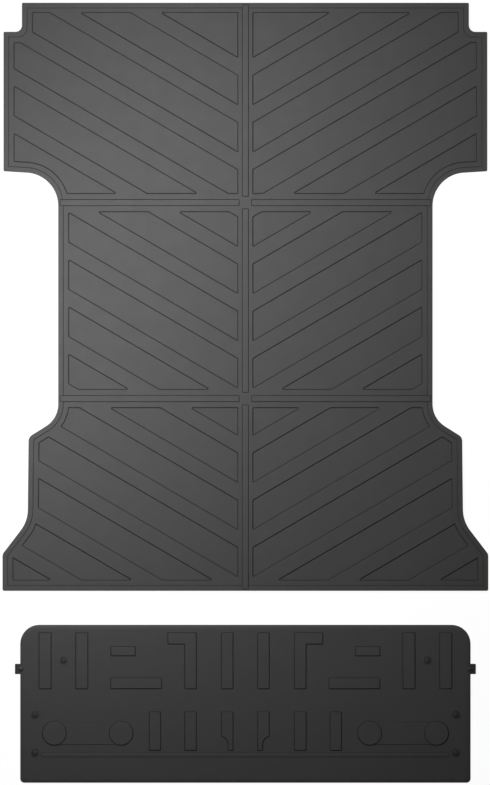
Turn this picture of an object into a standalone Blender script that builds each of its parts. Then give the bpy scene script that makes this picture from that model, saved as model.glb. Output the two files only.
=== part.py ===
"""Two-piece liner for a pickup truck: a bed mat and a tailgate mat, laid out flat in one plane.

X runs across the truck, +Y points to the cab and +Z points up. Both undersides lie at Z = 0, and
the origin is on the floor, in the middle of the two mats together. All sizes are in metres.
"""

import math

import bmesh
import bpy

# Bed mat in plan. A "half" is a distance from the centreline, and a "back" is a distance
# behind the mat's front edge.
MAT_LENGTH = 1.984
NOSE_HALF = 0.754
NOSE_BACK = 0.098
NOSE_FILLET = 0.022
FRONT_HALF = 0.816
ARCH_CORNER_BACK = 0.568
ARCH_TOP_BACK = 0.5725
ARCH_RADIUS = 0.1125
WAIST_HALF = 0.6315
REAR_ARC_BACK = 1.354
REAR_ARC_RADIUS = 0.088
SHELF_HALF = 0.7315
SHELF_BACK = 1.4655
SHELF_FILLET = 0.024
FLARE_HALF = 0.734
FLARE_BACK = 1.7085
FLARE_RADIUS = 0.118
REAR_HALF = 0.8195
REAR_CORNER_BACK = 1.86
SMALL_CORNER = 0.004
TAIL_CORNER = 0.006

# Bed mat in section
FIELD_TOP = 0.005
RIB_TOP = 0.008
RIM_TOP = 0.0092
BAR_TOP = 0.0098
EDGE_CHAMFER = 0.0015
FIELD_DRAFT = 0.003
RIM_DRAFT = 0.0015
RIM_WIDTH = 0.017
FIELD_MARGIN = 0.034
ABOVE = 0.004

# Chevron pattern: sunk fields between raised ribs, the same in both halves
CHEVRON_SLOPE = math.tan(math.radians(30.3))
CHEVRON_PITCH = 0.1594
FIELD_HEIGHT = 0.1014
FIRST_FIELD_END = 0.185
FIELD_INNER_HALF = 0.0228
CROSS_BACKS = (0.674, 1.3355)
CROSS_FIELD_GAP = 0.030
BAR_HALF_WIDTH = 0.0105
BAR_END_GAP = 0.021
BAR_EDGE_GAP = 0.006

# Tailgate mat in plan. An "along" is a distance behind the tailgate mat's own front edge.
MAT_GAP = 0.115
GATE_HALF = 0.760
GATE_LENGTH = 0.533
GATE_FRONT_CORNER = 0.064
GATE_REAR_CORNER = 0.014
GATE_TOP = 0.006
GATE_EDGE_TOP = 0.0035
GATE_EDGE_WIDTH = 0.012
PAD_TOP = 0.0095
PAD_DRAFT = 0.002
ROW_1 = (0.0265, 0.2163)
ROW_2 = (0.2934, 0.4239)
BAR_PADS = (
    (0.655, 0.697, ROW_1),
    (0.531, 0.573, ROW_1),
    (0.371, 0.4545, (0.0727, 0.1051)),
    (0.282, 0.4545, (0.1791, ROW_1[1])),
    (0.041, 0.0813, ROW_1),
    (0.2855, 0.325, ROW_2),
    (0.165, 0.2057, ROW_2),
)
HOOK_PAD = ((0.165, 0.2057), 0.262, 0.0656)
LEG_PAD = ((0.041, 0.0813), 0.059, 0.378, 0.404)
DISC_HALVES = (0.4193, 0.645)
DISC_ALONG = 0.366
DISC_RADIUS = 0.041
DISC_TOP = 0.0099
LINK_ALONG = (0.3296, 0.4046)
LINK_TOP = 0.0078
BEAD_ALONG = (0.431, 0.4475)
BEAD_HALF = 0.690
BEAD_TOP = 0.007

# Screw cups and their snap caps: (half, along) on each side
CUP_PLACES = ((0.6133, 0.1186), (0.7098, 0.3018), (0.7098, 0.4303))
CUP_FLANGE_RADIUS = 0.012
CUP_SLEEVE_RADIUS = 0.006
CUP_BORE_RADIUS = 0.0035
CUP_COUNTERSINK_RADIUS = 0.0065
CUP_TOP = 0.0072
SEAT_DEPTH = 0.0015
CAP_RADIUS = 0.0135
CAP_CORNER = 0.004
CAP_TOP = 0.0115
CAP_WALL = 0.0012

# Side tabs, riveted under the tailgate mat's ends through a round ear on each end
TAB_ALONG = 0.149
TAB_WIDTH = 0.035
TAB_REACH = 0.018
TAB_GRIP = 0.028
TAB_THICKNESS = 0.002
TAB_LIP_TOP = 0.006
TAB_LIP_WIDTH = 0.004
TAB_CORNER = 0.003
EAR_RADIUS = 0.0115
EAR_TOP = 0.004
RIVET_INSET = 0.0025
RIVET_SHANK_RADIUS = 0.003
RIVET_FOOT_RADIUS = 0.005
RIVET_HEAD_RADIUS = 0.0065
RIVET_HEAD_HEIGHT = 0.0028
WASHER_RADIUS = 0.0095
WASHER_THICKNESS = 0.001

GAP = 0.0003
ROUND_SIDES = 24
TOTAL_LENGTH = MAT_LENGTH + MAT_GAP + GATE_LENGTH
BED_FRONT_Y = TOTAL_LENGTH / 2
GATE_FRONT_Y = BED_FRONT_Y - MAT_LENGTH - MAT_GAP
HINGE_Y = GATE_FRONT_Y + MAT_GAP / 2


def clear_scene():
    for obj in list(bpy.data.objects):
        bpy.data.objects.remove(obj)


def make_material(name, color, roughness):
    material = bpy.data.materials.new(name)
    material.use_nodes = True
    shader = material.node_tree.nodes["Principled BSDF"]
    shader.inputs["Base Color"].default_value = (*color, 1)
    shader.inputs["Roughness"].default_value = roughness
    shader.inputs["Metallic"].default_value = 0.0
    return material


def make_object(name, bm, material, smooth_angle=None):
    """Turns a bmesh in world coordinates into an object with outward normals."""
    bmesh.ops.recalc_face_normals(bm, faces=bm.faces)
    mesh = bpy.data.meshes.new(name)
    bm.to_mesh(mesh)
    bm.free()
    if smooth_angle is not None:
        mesh.shade_smooth()
        mesh.set_sharp_from_angle(angle=math.radians(smooth_angle))
    mesh.materials.append(material)
    obj = bpy.data.objects.new(name, mesh)
    bpy.context.scene.collection.objects.link(obj)
    return obj


def make_helper(name, bm, material):
    """An object that only shapes another one, through a Boolean."""
    obj = make_object(name, bm, material)
    obj.hide_render = True
    obj.display_type = "WIRE"
    return obj


def add_boolean(obj, helper, operation):
    modifier = obj.modifiers.new(helper.name, "BOOLEAN")
    modifier.operation = operation
    modifier.solver = "EXACT"
    modifier.object = helper


def set_origin(obj, origin):
    """Moves the object's origin without moving its shape."""
    for vertex in obj.data.vertices:
        vertex.co = [value - shift for value, shift in zip(vertex.co, origin)]
    obj.location = origin


# Plane geometry


def signed_area(points):
    pairs = zip(points, points[1:] + points[:1])
    return sum(a[0] * b[1] - b[0] * a[1] for a, b in pairs) / 2


def unit(a, b):
    length = math.hypot(b[0] - a[0], b[1] - a[1])
    return ((b[0] - a[0]) / length, (b[1] - a[1]) / length)


def inset(points, distance):
    """The outline moved inwards by the distance, or outwards by a negative one, with mitred corners."""
    turn = 1 if signed_area(points) > 0 else -1
    moved = []
    for index, corner in enumerate(points):
        arriving = unit(points[index - 1], corner)
        leaving = unit(corner, points[(index + 1) % len(points)])
        first = (-arriving[1] * turn, arriving[0] * turn)
        second = (-leaving[1] * turn, leaving[0] * turn)
        scale = distance / (1 + first[0] * second[0] + first[1] * second[1])
        moved.append(
            (
                corner[0] + (first[0] + second[0]) * scale,
                corner[1] + (first[1] + second[1]) * scale,
            )
        )
    return moved


def clip(points, keep):
    """The part of the outline where the linear function keep(point) isn't negative."""
    kept = []
    for index, point in enumerate(points):
        before = points[index - 1]
        level, level_before = keep(point), keep(before)
        if (level > 0) != (level_before > 0):
            share = level_before / (level_before - level)
            kept.append(
                (
                    before[0] + (point[0] - before[0]) * share,
                    before[1] + (point[1] - before[1]) * share,
                )
            )
        if level > 0:
            kept.append(point)
    return kept


def arc(centre, radius, start_degrees, end_degrees, steps):
    points = []
    for step in range(steps + 1):
        angle = math.radians(
            start_degrees + (end_degrees - start_degrees) * step / steps
        )
        points.append(
            (
                centre[0] + radius * math.cos(angle),
                centre[1] + radius * math.sin(angle),
            )
        )
    return points


def fillet(before, corner, after, radius, steps):
    """The arc that rounds one corner."""
    back, ahead = unit(corner, before), unit(corner, after)
    half = math.acos(max(-1, min(1, back[0] * ahead[0] + back[1] * ahead[1]))) / 2
    middle = unit((0, 0), (back[0] + ahead[0], back[1] + ahead[1]))
    reach = radius / math.sin(half)
    centre = (corner[0] + middle[0] * reach, corner[1] + middle[1] * reach)
    run = radius / math.tan(half)
    start = (corner[0] + back[0] * run, corner[1] + back[1] * run)
    end = (corner[0] + ahead[0] * run, corner[1] + ahead[1] * run)
    first = math.degrees(math.atan2(start[1] - centre[1], start[0] - centre[0]))
    last = math.degrees(math.atan2(end[1] - centre[1], end[0] - centre[0]))
    sweep = (last - first + 180) % 360 - 180
    return arc(centre, radius, first, first + sweep, steps)


def round_corners(corners, steps=3):
    """An outline from (x, y, radius) corners."""
    points = []
    for index, (x, y, radius) in enumerate(corners):
        if radius == 0:
            points.append((x, y))
            continue
        after = corners[(index + 1) % len(corners)]
        points += fillet(corners[index - 1][:2], (x, y), after[:2], radius, steps)
    return points


def mirrored(points):
    return [(-x, y) for x, y in reversed(points)]


def tangent_sweep(centre, radius, target):
    """Degrees round a circle, from its side nearest the centreline, to where its tangent meets the target."""
    across, down = target[0] - centre[0], centre[1] - target[1]
    distance = math.hypot(across, down)
    return 180 - math.degrees(math.atan2(down, across) + math.acos(radius / distance))


# Solids


def add_prism(bm, bottom, top, low, high):
    """A closed solid between two outlines with the same number of points."""
    lower = [bm.verts.new((x, y, low)) for x, y in bottom]
    upper = [bm.verts.new((x, y, high)) for x, y in top]
    bm.faces.new(lower)
    bm.faces.new(upper)
    for index in range(len(lower)):
        after = (index + 1) % len(lower)
        bm.faces.new((lower[index], lower[after], upper[after], upper[index]))


def add_slab(bm, outline, edge_inset, edge_top, top):
    """A flat sheet on the floor, with its upper edge sloped in."""
    inner = inset(outline, edge_inset)
    rings = []
    for ring, height in ((outline, 0), (outline, edge_top), (inner, top)):
        rings.append([bm.verts.new((x, y, height)) for x, y in ring])
    bm.faces.new(rings[0])
    bm.faces.new(rings[-1])
    for lower, upper in zip(rings, rings[1:]):
        for index in range(len(outline)):
            after = (index + 1) % len(outline)
            bm.faces.new((lower[index], lower[after], upper[after], upper[index]))


def add_turned(bm, centre, profile):
    """A round solid from a closed (radius, height) profile. A radius of 0 is a point on the axis."""
    rings = []
    for radius, height in profile:
        if radius == 0:
            rings.append([bm.verts.new((*centre, height))] * ROUND_SIDES)
            continue
        points = arc(centre, radius, 0, 360, ROUND_SIDES)[:-1]
        rings.append([bm.verts.new((x, y, height)) for x, y in points])
    for lower, upper in zip(rings, rings[1:] + rings[:1]):
        for index in range(ROUND_SIDES):
            after = (index + 1) % ROUND_SIDES
            corners = (lower[index], lower[after], upper[after], upper[index])
            distinct = list(dict.fromkeys(corners))
            if len(distinct) > 2:
                bm.faces.new(distinct)


# Bed mat


def bed_y(back):
    return BED_FRONT_Y - back


def bed_half_corners():
    """The mat's right side from front to rear, as (x, y, corner radius)."""
    arch = (WAIST_HALF + ARCH_RADIUS, bed_y(ARCH_TOP_BACK + ARCH_RADIUS))
    rear = (WAIST_HALF + REAR_ARC_RADIUS, bed_y(REAR_ARC_BACK))
    flare = (FLARE_HALF + FLARE_RADIUS, bed_y(FLARE_BACK))
    shelf = (SHELF_HALF, bed_y(SHELF_BACK))
    tail = (REAR_HALF, bed_y(REAR_CORNER_BACK))
    rear_sweep = tangent_sweep(rear, REAR_ARC_RADIUS, shelf)
    flare_sweep = tangent_sweep(flare, FLARE_RADIUS, tail)
    corners = [
        (NOSE_HALF, bed_y(0), SMALL_CORNER),
        (NOSE_HALF, bed_y(NOSE_BACK), NOSE_FILLET),
        (FRONT_HALF, bed_y(NOSE_BACK), SMALL_CORNER),
        (FRONT_HALF, bed_y(ARCH_CORNER_BACK), SMALL_CORNER),
    ]
    corners += [(x, y, 0) for x, y in arc(arch, ARCH_RADIUS, 90, 180, 9)]
    corners += [
        (x, y, 0) for x, y in arc(rear, REAR_ARC_RADIUS, 180, 180 + rear_sweep, 6)
    ]
    corners.append((*shelf, SHELF_FILLET))
    corners += [
        (x, y, 0) for x, y in arc(flare, FLARE_RADIUS, 180, 180 + flare_sweep, 5)
    ]
    corners.append((*tail, SHELF_FILLET))
    corners.append((REAR_HALF, bed_y(MAT_LENGTH), TAIL_CORNER))
    return corners


def whole_outline(corners):
    """Both sides of a mat from the corners of its right side."""
    left = [(-x, y, radius) for x, y, radius in reversed(corners)]
    return round_corners(corners + left)


def sharp_outline(corners, distance):
    """The outline inset by the distance, with its corners left sharp."""
    right = [(x, y) for x, y, _ in corners]
    return inset(right + mirrored(right), distance)


def chevron_fields():
    """The outlines of the sunk fields' floors in the mat's right half."""
    area = sharp_outline(bed_half_corners(), FIELD_MARGIN + FIELD_DRAFT)
    area = clip(area, lambda p: p[0] - FIELD_INNER_HALF - FIELD_DRAFT)
    cross_gap = CROSS_FIELD_GAP + FIELD_DRAFT
    along_draft = FIELD_DRAFT * math.hypot(1, CHEVRON_SLOPE)
    starts = [-1] + [cross + cross_gap for cross in CROSS_BACKS]
    ends = [cross - cross_gap for cross in CROSS_BACKS] + [MAT_LENGTH + 1]
    most = math.ceil(
        (MAT_LENGTH + FRONT_HALF * CHEVRON_SLOPE - FIRST_FIELD_END) / CHEVRON_PITCH
    )
    fields = []
    for start, end in zip(starts, ends):
        panel = clip(area, lambda p: bed_y(start) - p[1])
        panel = clip(panel, lambda p: p[1] - bed_y(end))
        for number in range(most + 1):
            end_back = FIRST_FIELD_END + number * CHEVRON_PITCH
            start_back = -1 if number == 0 else end_back - FIELD_HEIGHT
            low, high = start_back + along_draft, end_back - along_draft
            field = clip(panel, lambda p: along_chevron(p) - low)
            field = clip(field, lambda p: high - along_chevron(p))
            if len(field) > 2 and abs(signed_area(field)) > FIELD_MARGIN**2 / 2:
                fields.append(field)
    return fields


def along_chevron(point):
    """How far back the chevron through this point meets the fields' inner edge."""
    return (
        BED_FRONT_Y - point[1] + CHEVRON_SLOPE * (abs(point[0]) - FIELD_INNER_HALF)
    )


def bar_outlines():
    """The raised bars along the centreline and across it, which stop short of each other."""
    stops = [BAR_EDGE_GAP]
    for cross in CROSS_BACKS:
        stops += [cross - BAR_END_GAP, cross + BAR_END_GAP]
    stops.append(MAT_LENGTH - BAR_EDGE_GAP)
    bars = []
    for start, end in zip(stops[::2], stops[1::2]):
        bars.append(box_outline(-BAR_HALF_WIDTH, BAR_HALF_WIDTH, bed_y(end), bed_y(start)))
    for cross in CROSS_BACKS:
        low, high = bed_y(cross + BAR_HALF_WIDTH), bed_y(cross - BAR_HALF_WIDTH)
        right = box_outline(BAR_END_GAP, WAIST_HALF - BAR_EDGE_GAP, low, high)
        bars += [right, mirrored(right)]
    return bars


def box_outline(left, right, low, high):
    return [(left, low), (right, low), (right, high), (left, high)]


def make_bed_mat(rubber):
    corners = bed_half_corners()
    bm = bmesh.new()
    add_slab(
        bm, whole_outline(corners), EDGE_CHAMFER, RIM_TOP - EDGE_CHAMFER, RIM_TOP
    )
    mat = make_object("bed_mat", bm, rubber)

    bm = bmesh.new()
    floor = sharp_outline(corners, RIM_WIDTH)
    rise = RIM_TOP + ABOVE - RIB_TOP
    spread = RIM_DRAFT * rise / (RIM_TOP - RIB_TOP)
    add_prism(bm, floor, inset(floor, -spread), RIB_TOP, RIM_TOP + ABOVE)
    add_boolean(mat, make_helper("inside_rim_cutter", bm, rubber), "DIFFERENCE")

    bm = bmesh.new()
    rise = RIB_TOP + ABOVE - FIELD_TOP
    spread = FIELD_DRAFT * rise / (RIB_TOP - FIELD_TOP)
    for field in chevron_fields():
        for floor in (field, mirrored(field)):
            mouth = inset(floor, -spread)
            add_prism(bm, floor, mouth, FIELD_TOP, RIB_TOP + ABOVE)
    add_boolean(mat, make_helper("field_cutter", bm, rubber), "DIFFERENCE")

    bm = bmesh.new()
    middle = (FIELD_TOP + RIB_TOP) / 2
    for bar in bar_outlines():
        add_prism(bm, bar, inset(bar, RIM_DRAFT), middle, BAR_TOP)
    add_boolean(mat, make_helper("bar_form", bm, rubber), "UNION")
    return mat


# Tailgate mat


def gate_y(along):
    return GATE_FRONT_Y - along


def both_sides(half, along):
    return [(half, gate_y(along)), (-half, gate_y(along))]


def pad_outlines():
    """The outlines of the raised pads on the right half, apart from the round ones."""
    pads = [
        box_outline(inner, outer, gate_y(end), gate_y(start))
        for inner, outer, (start, end) in BAR_PADS
    ]
    (inner, outer), hook_end, hook_along = HOOK_PAD
    start, end = gate_y(ROW_1[0]), gate_y(ROW_1[1])
    hook = gate_y(hook_along)
    pads.append(
        [
            (inner, end),
            (outer, end),
            (outer, hook),
            (hook_end, hook),
            (hook_end, start),
            (inner, start),
        ]
    )
    (inner, outer), leg, step_start, step_end = LEG_PAD
    start, end = gate_y(ROW_2[0]), gate_y(ROW_2[1])
    centre = (outer, gate_y(step_end))
    step = [
        (
            centre[0] + (x - centre[0]) * (outer - leg),
            centre[1] + (y - centre[1]) * (step_end - step_start),
        )
        for x, y in arc(centre, 1, 180, 100, 4)
    ]
    pads.append(
        [(inner, end), (leg, end)]
        + step
        + [(outer, gate_y(step_start)), (outer, start), (inner, start)]
    )
    return pads


def make_tailgate_mat(rubber):
    rear = gate_y(GATE_LENGTH)
    corners = [
        (GATE_HALF, gate_y(0), GATE_FRONT_CORNER),
        (GATE_HALF, rear, GATE_REAR_CORNER),
        (-GATE_HALF, rear, GATE_REAR_CORNER),
        (-GATE_HALF, gate_y(0), GATE_FRONT_CORNER),
    ]
    bm = bmesh.new()
    add_slab(
        bm, round_corners(corners, 6), GATE_EDGE_WIDTH, GATE_EDGE_TOP, GATE_TOP
    )
    mat = make_object("tailgate_mat", bm, rubber)

    bm = bmesh.new()
    root = GATE_TOP / 2
    for pad in pad_outlines():
        for outline in (pad, mirrored(pad)):
            add_prism(bm, outline, inset(outline, PAD_DRAFT), root, PAD_TOP)
    link = box_outline(*DISC_HALVES, gate_y(LINK_ALONG[1]), gate_y(LINK_ALONG[0]))
    for outline in (link, mirrored(link)):
        add_prism(bm, outline, inset(outline, PAD_DRAFT / 2), root, LINK_TOP)
    start, end = (gate_y(along) for along in BEAD_ALONG)
    bead = box_outline(-BEAD_HALF, BEAD_HALF, end, start)
    add_prism(bm, bead, inset(bead, PAD_DRAFT), root, BEAD_TOP)
    for centre in both_sides(GATE_HALF - RIVET_INSET, TAB_ALONG):
        ear = arc(centre, EAR_RADIUS, 0, 360, ROUND_SIDES)[:-1]
        add_prism(bm, ear, ear, TAB_THICKNESS / 2, EAR_TOP)
    add_boolean(mat, make_helper("pad_form", bm, rubber), "UNION")

    bm = bmesh.new()
    for half in DISC_HALVES:
        for centre in both_sides(half, DISC_ALONG):
            disc = arc(centre, DISC_RADIUS, 0, 360, 2 * ROUND_SIDES)[:-1]
            add_prism(bm, disc, inset(disc, PAD_DRAFT), root, DISC_TOP)
    add_boolean(mat, make_helper("disc_form", bm, rubber), "UNION")

    bm = bmesh.new()
    for half, along in CUP_PLACES:
        for centre in both_sides(half, along):
            hole, seat = CUP_SLEEVE_RADIUS + GAP, CUP_FLANGE_RADIUS + GAP
            profile = stepped_hole(hole, -ABOVE, seat, GATE_TOP - SEAT_DEPTH)
            add_turned(bm, centre, profile)
    add_boolean(mat, make_helper("seat_cutter", bm, rubber), "DIFFERENCE")

    bm = bmesh.new()
    low, high = gate_y(TAB_ALONG + TAB_WIDTH / 2), gate_y(TAB_ALONG - TAB_WIDTH / 2)
    pocket = box_outline(
        GATE_HALF - TAB_GRIP - GAP, GATE_HALF + TAB_GRIP, low - GAP, high + GAP
    )
    for outline in (pocket, mirrored(pocket)):
        add_prism(bm, outline, outline, -ABOVE, TAB_THICKNESS + GAP)
    add_boolean(mat, make_helper("tab_pocket_cutter", bm, rubber), "DIFFERENCE")

    bm = bmesh.new()
    for centre in both_sides(GATE_HALF - RIVET_INSET, TAB_ALONG):
        hole, seat = RIVET_SHANK_RADIUS + GAP, WASHER_RADIUS + GAP
        add_turned(bm, centre, stepped_hole(hole, 0, seat, EAR_TOP - GAP))
    add_boolean(mat, make_helper("rivet_hole_cutter", bm, rubber), "DIFFERENCE")
    set_origin(mat, (0, HINGE_Y, 0))
    return mat


def stepped_hole(hole, bottom, seat, seat_height):
    """The profile of a hole up through the tailgate mat, with a wider seat at its top."""
    top = GATE_TOP + ABOVE
    return [
        (0, bottom),
        (hole, bottom),
        (hole, seat_height),
        (seat, seat_height),
        (seat, top),
        (0, top),
    ]


def make_screw_cup(name, centre, nylon):
    """A flanged sleeve with a countersunk bore for the truck's own panel screw."""
    flange_bottom = GATE_TOP - SEAT_DEPTH + GAP
    sink = CUP_COUNTERSINK_RADIUS - CUP_BORE_RADIUS
    bm = bmesh.new()
    add_turned(
        bm,
        centre,
        [
            (CUP_BORE_RADIUS, GAP),
            (CUP_SLEEVE_RADIUS, GAP),
            (CUP_SLEEVE_RADIUS, flange_bottom),
            (CUP_FLANGE_RADIUS, flange_bottom),
            (CUP_FLANGE_RADIUS, CUP_TOP),
            (CUP_COUNTERSINK_RADIUS, CUP_TOP),
            (CUP_BORE_RADIUS, CUP_TOP - sink),
        ],
    )
    cup = make_object(name, bm, nylon, 35)
    set_origin(cup, (*centre, 0))


def make_snap_cap(name, centre, nylon):
    """A shallow dome that closes over a screw cup."""
    inner = CUP_FLANGE_RADIUS + GAP
    roof = CUP_TOP + GAP
    shoulder = CAP_TOP - CAP_CORNER
    profile = [(inner, GATE_TOP + GAP), (CAP_RADIUS, GATE_TOP + GAP)]
    profile += [
        (CAP_RADIUS - CAP_CORNER + x, y)
        for x, y in arc((0, shoulder), CAP_CORNER, 0, 60, 3)
    ]
    profile += [(0, CAP_TOP), (0, CAP_TOP - CAP_WALL)]
    profile += [(inner - CAP_CORNER / 2, CAP_TOP - CAP_WALL * 2), (inner, roof)]
    bm = bmesh.new()
    add_turned(bm, centre, profile)
    cap = make_object(name, bm, nylon, 35)
    set_origin(cap, (*centre, 0))


# Side tabs


def make_side_tab(name, side, nylon):
    """A flat tongue under the mat's end, with a turned-up lip outside it."""
    edge, reach, grip = GATE_HALF, TAB_REACH, TAB_GRIP
    low, high = gate_y(TAB_ALONG + TAB_WIDTH / 2), gate_y(TAB_ALONG - TAB_WIDTH / 2)
    corners = [
        (edge - grip, low, TAB_CORNER),
        (edge + reach, low, TAB_CORNER),
        (edge + reach, high, TAB_CORNER),
        (edge - grip, high, TAB_CORNER),
    ]
    tongue = round_corners(corners)
    lip = box_outline(
        edge + reach - TAB_LIP_WIDTH, edge + reach - GAP, low + TAB_CORNER, high - TAB_CORNER
    )
    if side < 0:
        tongue, lip = mirrored(tongue), mirrored(lip)
    bm = bmesh.new()
    add_prism(bm, tongue, tongue, 0, TAB_THICKNESS)
    tab = make_object(name, bm, nylon)
    bm = bmesh.new()
    add_prism(bm, lip, inset(lip, GAP), TAB_THICKNESS / 2, TAB_LIP_TOP)
    add_boolean(tab, make_helper(name + "_lip_form", bm, nylon), "UNION")
    bm = bmesh.new()
    centre = (side * (GATE_HALF - RIVET_INSET), gate_y(TAB_ALONG))
    shank, foot = RIVET_SHANK_RADIUS + GAP, RIVET_FOOT_RADIUS + GAP
    cone_top = foot - shank
    top = TAB_THICKNESS + ABOVE
    add_turned(
        bm,
        centre,
        [
            (0, -ABOVE),
            (foot, -ABOVE),
            (foot, 0),
            (shank, cone_top),
            (shank, top),
            (0, top),
        ],
    )
    add_boolean(tab, make_helper(name + "_hole_cutter", bm, nylon), "DIFFERENCE")
    set_origin(tab, (*centre, 0))


def make_rivet_and_washer(label, side, steel):
    centre = (side * (GATE_HALF - RIVET_INSET), gate_y(TAB_ALONG))
    washer_top = EAR_TOP + WASHER_THICKNESS
    bm = bmesh.new()
    bore = RIVET_SHANK_RADIUS + GAP
    add_turned(
        bm,
        centre,
        [
            (bore, EAR_TOP),
            (WASHER_RADIUS, EAR_TOP),
            (WASHER_RADIUS, washer_top),
            (bore, washer_top),
        ],
    )
    washer = make_object("rivet_washer_" + label, bm, steel, 35)
    set_origin(washer, (*centre, 0))
    head = washer_top + GAP
    crown = arc((0, head), 1, 0, 90, 4)
    profile = [
        (0, GAP),
        (RIVET_FOOT_RADIUS, GAP),
        (RIVET_SHANK_RADIUS, GAP + RIVET_FOOT_RADIUS - RIVET_SHANK_RADIUS),
        (RIVET_SHANK_RADIUS, head),
    ]
    profile += [
        (x * RIVET_HEAD_RADIUS, head + (y - head) * RIVET_HEAD_HEIGHT)
        for x, y in crown[:-1]
    ]
    profile.append((0, head + RIVET_HEAD_HEIGHT))
    bm = bmesh.new()
    add_turned(bm, centre, profile)
    rivet = make_object("tab_rivet_" + label, bm, steel, 35)
    set_origin(rivet, (*centre, 0))


def main():
    clear_scene()
    rubber = make_material("mat_rubber", (0.055, 0.055, 0.056), 0.55)
    nylon = make_material("black_nylon", (0.03, 0.03, 0.03), 0.45)
    steel = make_material("black_steel", (0.02, 0.02, 0.02), 0.4)
    make_bed_mat(rubber)
    make_tailgate_mat(rubber)
    for side, label in ((1, "right"), (-1, "left")):
        for number, (half, along) in enumerate(CUP_PLACES, start=1):
            centre = (side * half, gate_y(along))
            make_screw_cup(f"screw_cup_{label}_{number}", centre, nylon)
            make_snap_cap(f"snap_cap_{label}_{number}", centre, nylon)
        make_side_tab("side_tab_" + label, side, nylon)
        make_rivet_and_washer(label, side, steel)


main()
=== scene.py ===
"""A pickup's bed mat and tailgate mat, laid out flat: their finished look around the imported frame.

X runs across the truck, +Y points to the cab and +Z up. All sizes are in metres.
"""

import logging
import math
from collections.abc import Callable
from dataclasses import dataclass, field
from enum import Enum
from functools import cache

import bmesh
import bpy
import numpy as np
from mathutils import Matrix, Vector, geometry


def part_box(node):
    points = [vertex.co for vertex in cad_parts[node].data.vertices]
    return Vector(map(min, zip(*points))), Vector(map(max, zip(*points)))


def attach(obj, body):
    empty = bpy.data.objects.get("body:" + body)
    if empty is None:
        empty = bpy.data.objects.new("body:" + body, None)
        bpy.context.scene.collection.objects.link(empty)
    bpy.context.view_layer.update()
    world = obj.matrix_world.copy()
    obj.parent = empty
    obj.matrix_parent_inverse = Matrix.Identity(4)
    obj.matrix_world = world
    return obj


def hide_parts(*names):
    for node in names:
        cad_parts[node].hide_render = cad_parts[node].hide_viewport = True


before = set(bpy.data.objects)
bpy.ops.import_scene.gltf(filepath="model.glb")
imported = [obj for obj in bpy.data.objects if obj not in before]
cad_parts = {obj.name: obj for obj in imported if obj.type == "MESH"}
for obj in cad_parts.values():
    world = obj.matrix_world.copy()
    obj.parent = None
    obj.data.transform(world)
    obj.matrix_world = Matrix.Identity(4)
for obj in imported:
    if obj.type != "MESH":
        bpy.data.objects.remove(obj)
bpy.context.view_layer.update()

log = logging.getLogger("liner")

Point = tuple[float, float]
Colour = tuple[float, float, float]

# How close two points of a face are when they count as one.
MERGE = 1e-7
# The clearance between pieces that don't press on each other.
GAP = 0.0003
# A distance that reaches past any edge of the mats from inside them.
BEYOND = 1.0
# The most that one straight piece of a rounded corner turns.
ARC_DEGREES = 12.0
# The least turn of a corner that may be rounded. Gentler turns belong to arcs.
SEEN_TURN = math.radians(25)
# Painted shade: how dark a step's wall is painted, where 1 is as dark as the paint at a groove's foot,
# and how much of that the rounded edges, seats and beads take.
WALL_SHADE = 0.3
EDGE_SHADE = 2.5
SEAT_SHADE = 0.6
BEAD_SHADE = 0.5
NO_SHADE = 0.0
# A step's section: how far across the wall each station is, and how deep it lies in the groove.
SECTION = (
    (0, 0),
    (0.15, 0),
    (0.32, 0),
    (0.5, 0.2),
    (0.68, 0.6),
    (0.85, 1),
    (1.0, 1),
    (1.2, 0.4),
    (1.4, 0),
)


class Side(Enum):
    """The truck's left or right, with its sign along X."""

    LEFT = -1
    RIGHT = 1

    @property
    def label(self) -> str:
        """The word that ends a node's name."""
        return self.name.lower()


class Slot(Enum):
    """The record's material slots."""

    BED = "bed_rubber"
    TAILGATE = "tailgate_rubber"
    NYLON = "black_nylon"
    STEEL = "black_steel"


# ---------------------------------------------------------------- plan geometry


@dataclass(frozen=True)
class Corner:
    """One corner of an outline, and the radius that rounds it."""

    x: float
    y: float
    radius: float = 0.0


def heading(start: Corner, end: Corner) -> np.ndarray:
    """The unit vector from one corner to another."""
    step = np.array((end.x - start.x, end.y - start.y))
    return step / np.linalg.norm(step)


def turn_between(arriving: np.ndarray, leaving: np.ndarray) -> float:
    """The turn in radians from one heading to the next, positive to the left."""
    cross = arriving[0] * leaving[1] - arriving[1] * leaving[0]
    return math.atan2(cross, float(arriving @ leaving))


def arc(centre: Point, radius: float, start: float, end: float, steps: int) -> list[Corner]:
    """Corners along an arc.

    Args:
        centre: The arc's centre.
        radius: Its radius.
        start: The angle it starts at, in degrees.
        end: The angle it ends at, in degrees.
        steps: How many straight pieces it has.

    Returns:
        The corners from start to end, both included.
    """
    angles = np.radians(np.linspace(start, end, steps + 1))
    return [
        Corner(centre[0] + radius * math.cos(a), centre[1] + radius * math.sin(a)) for a in angles
    ]


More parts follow.
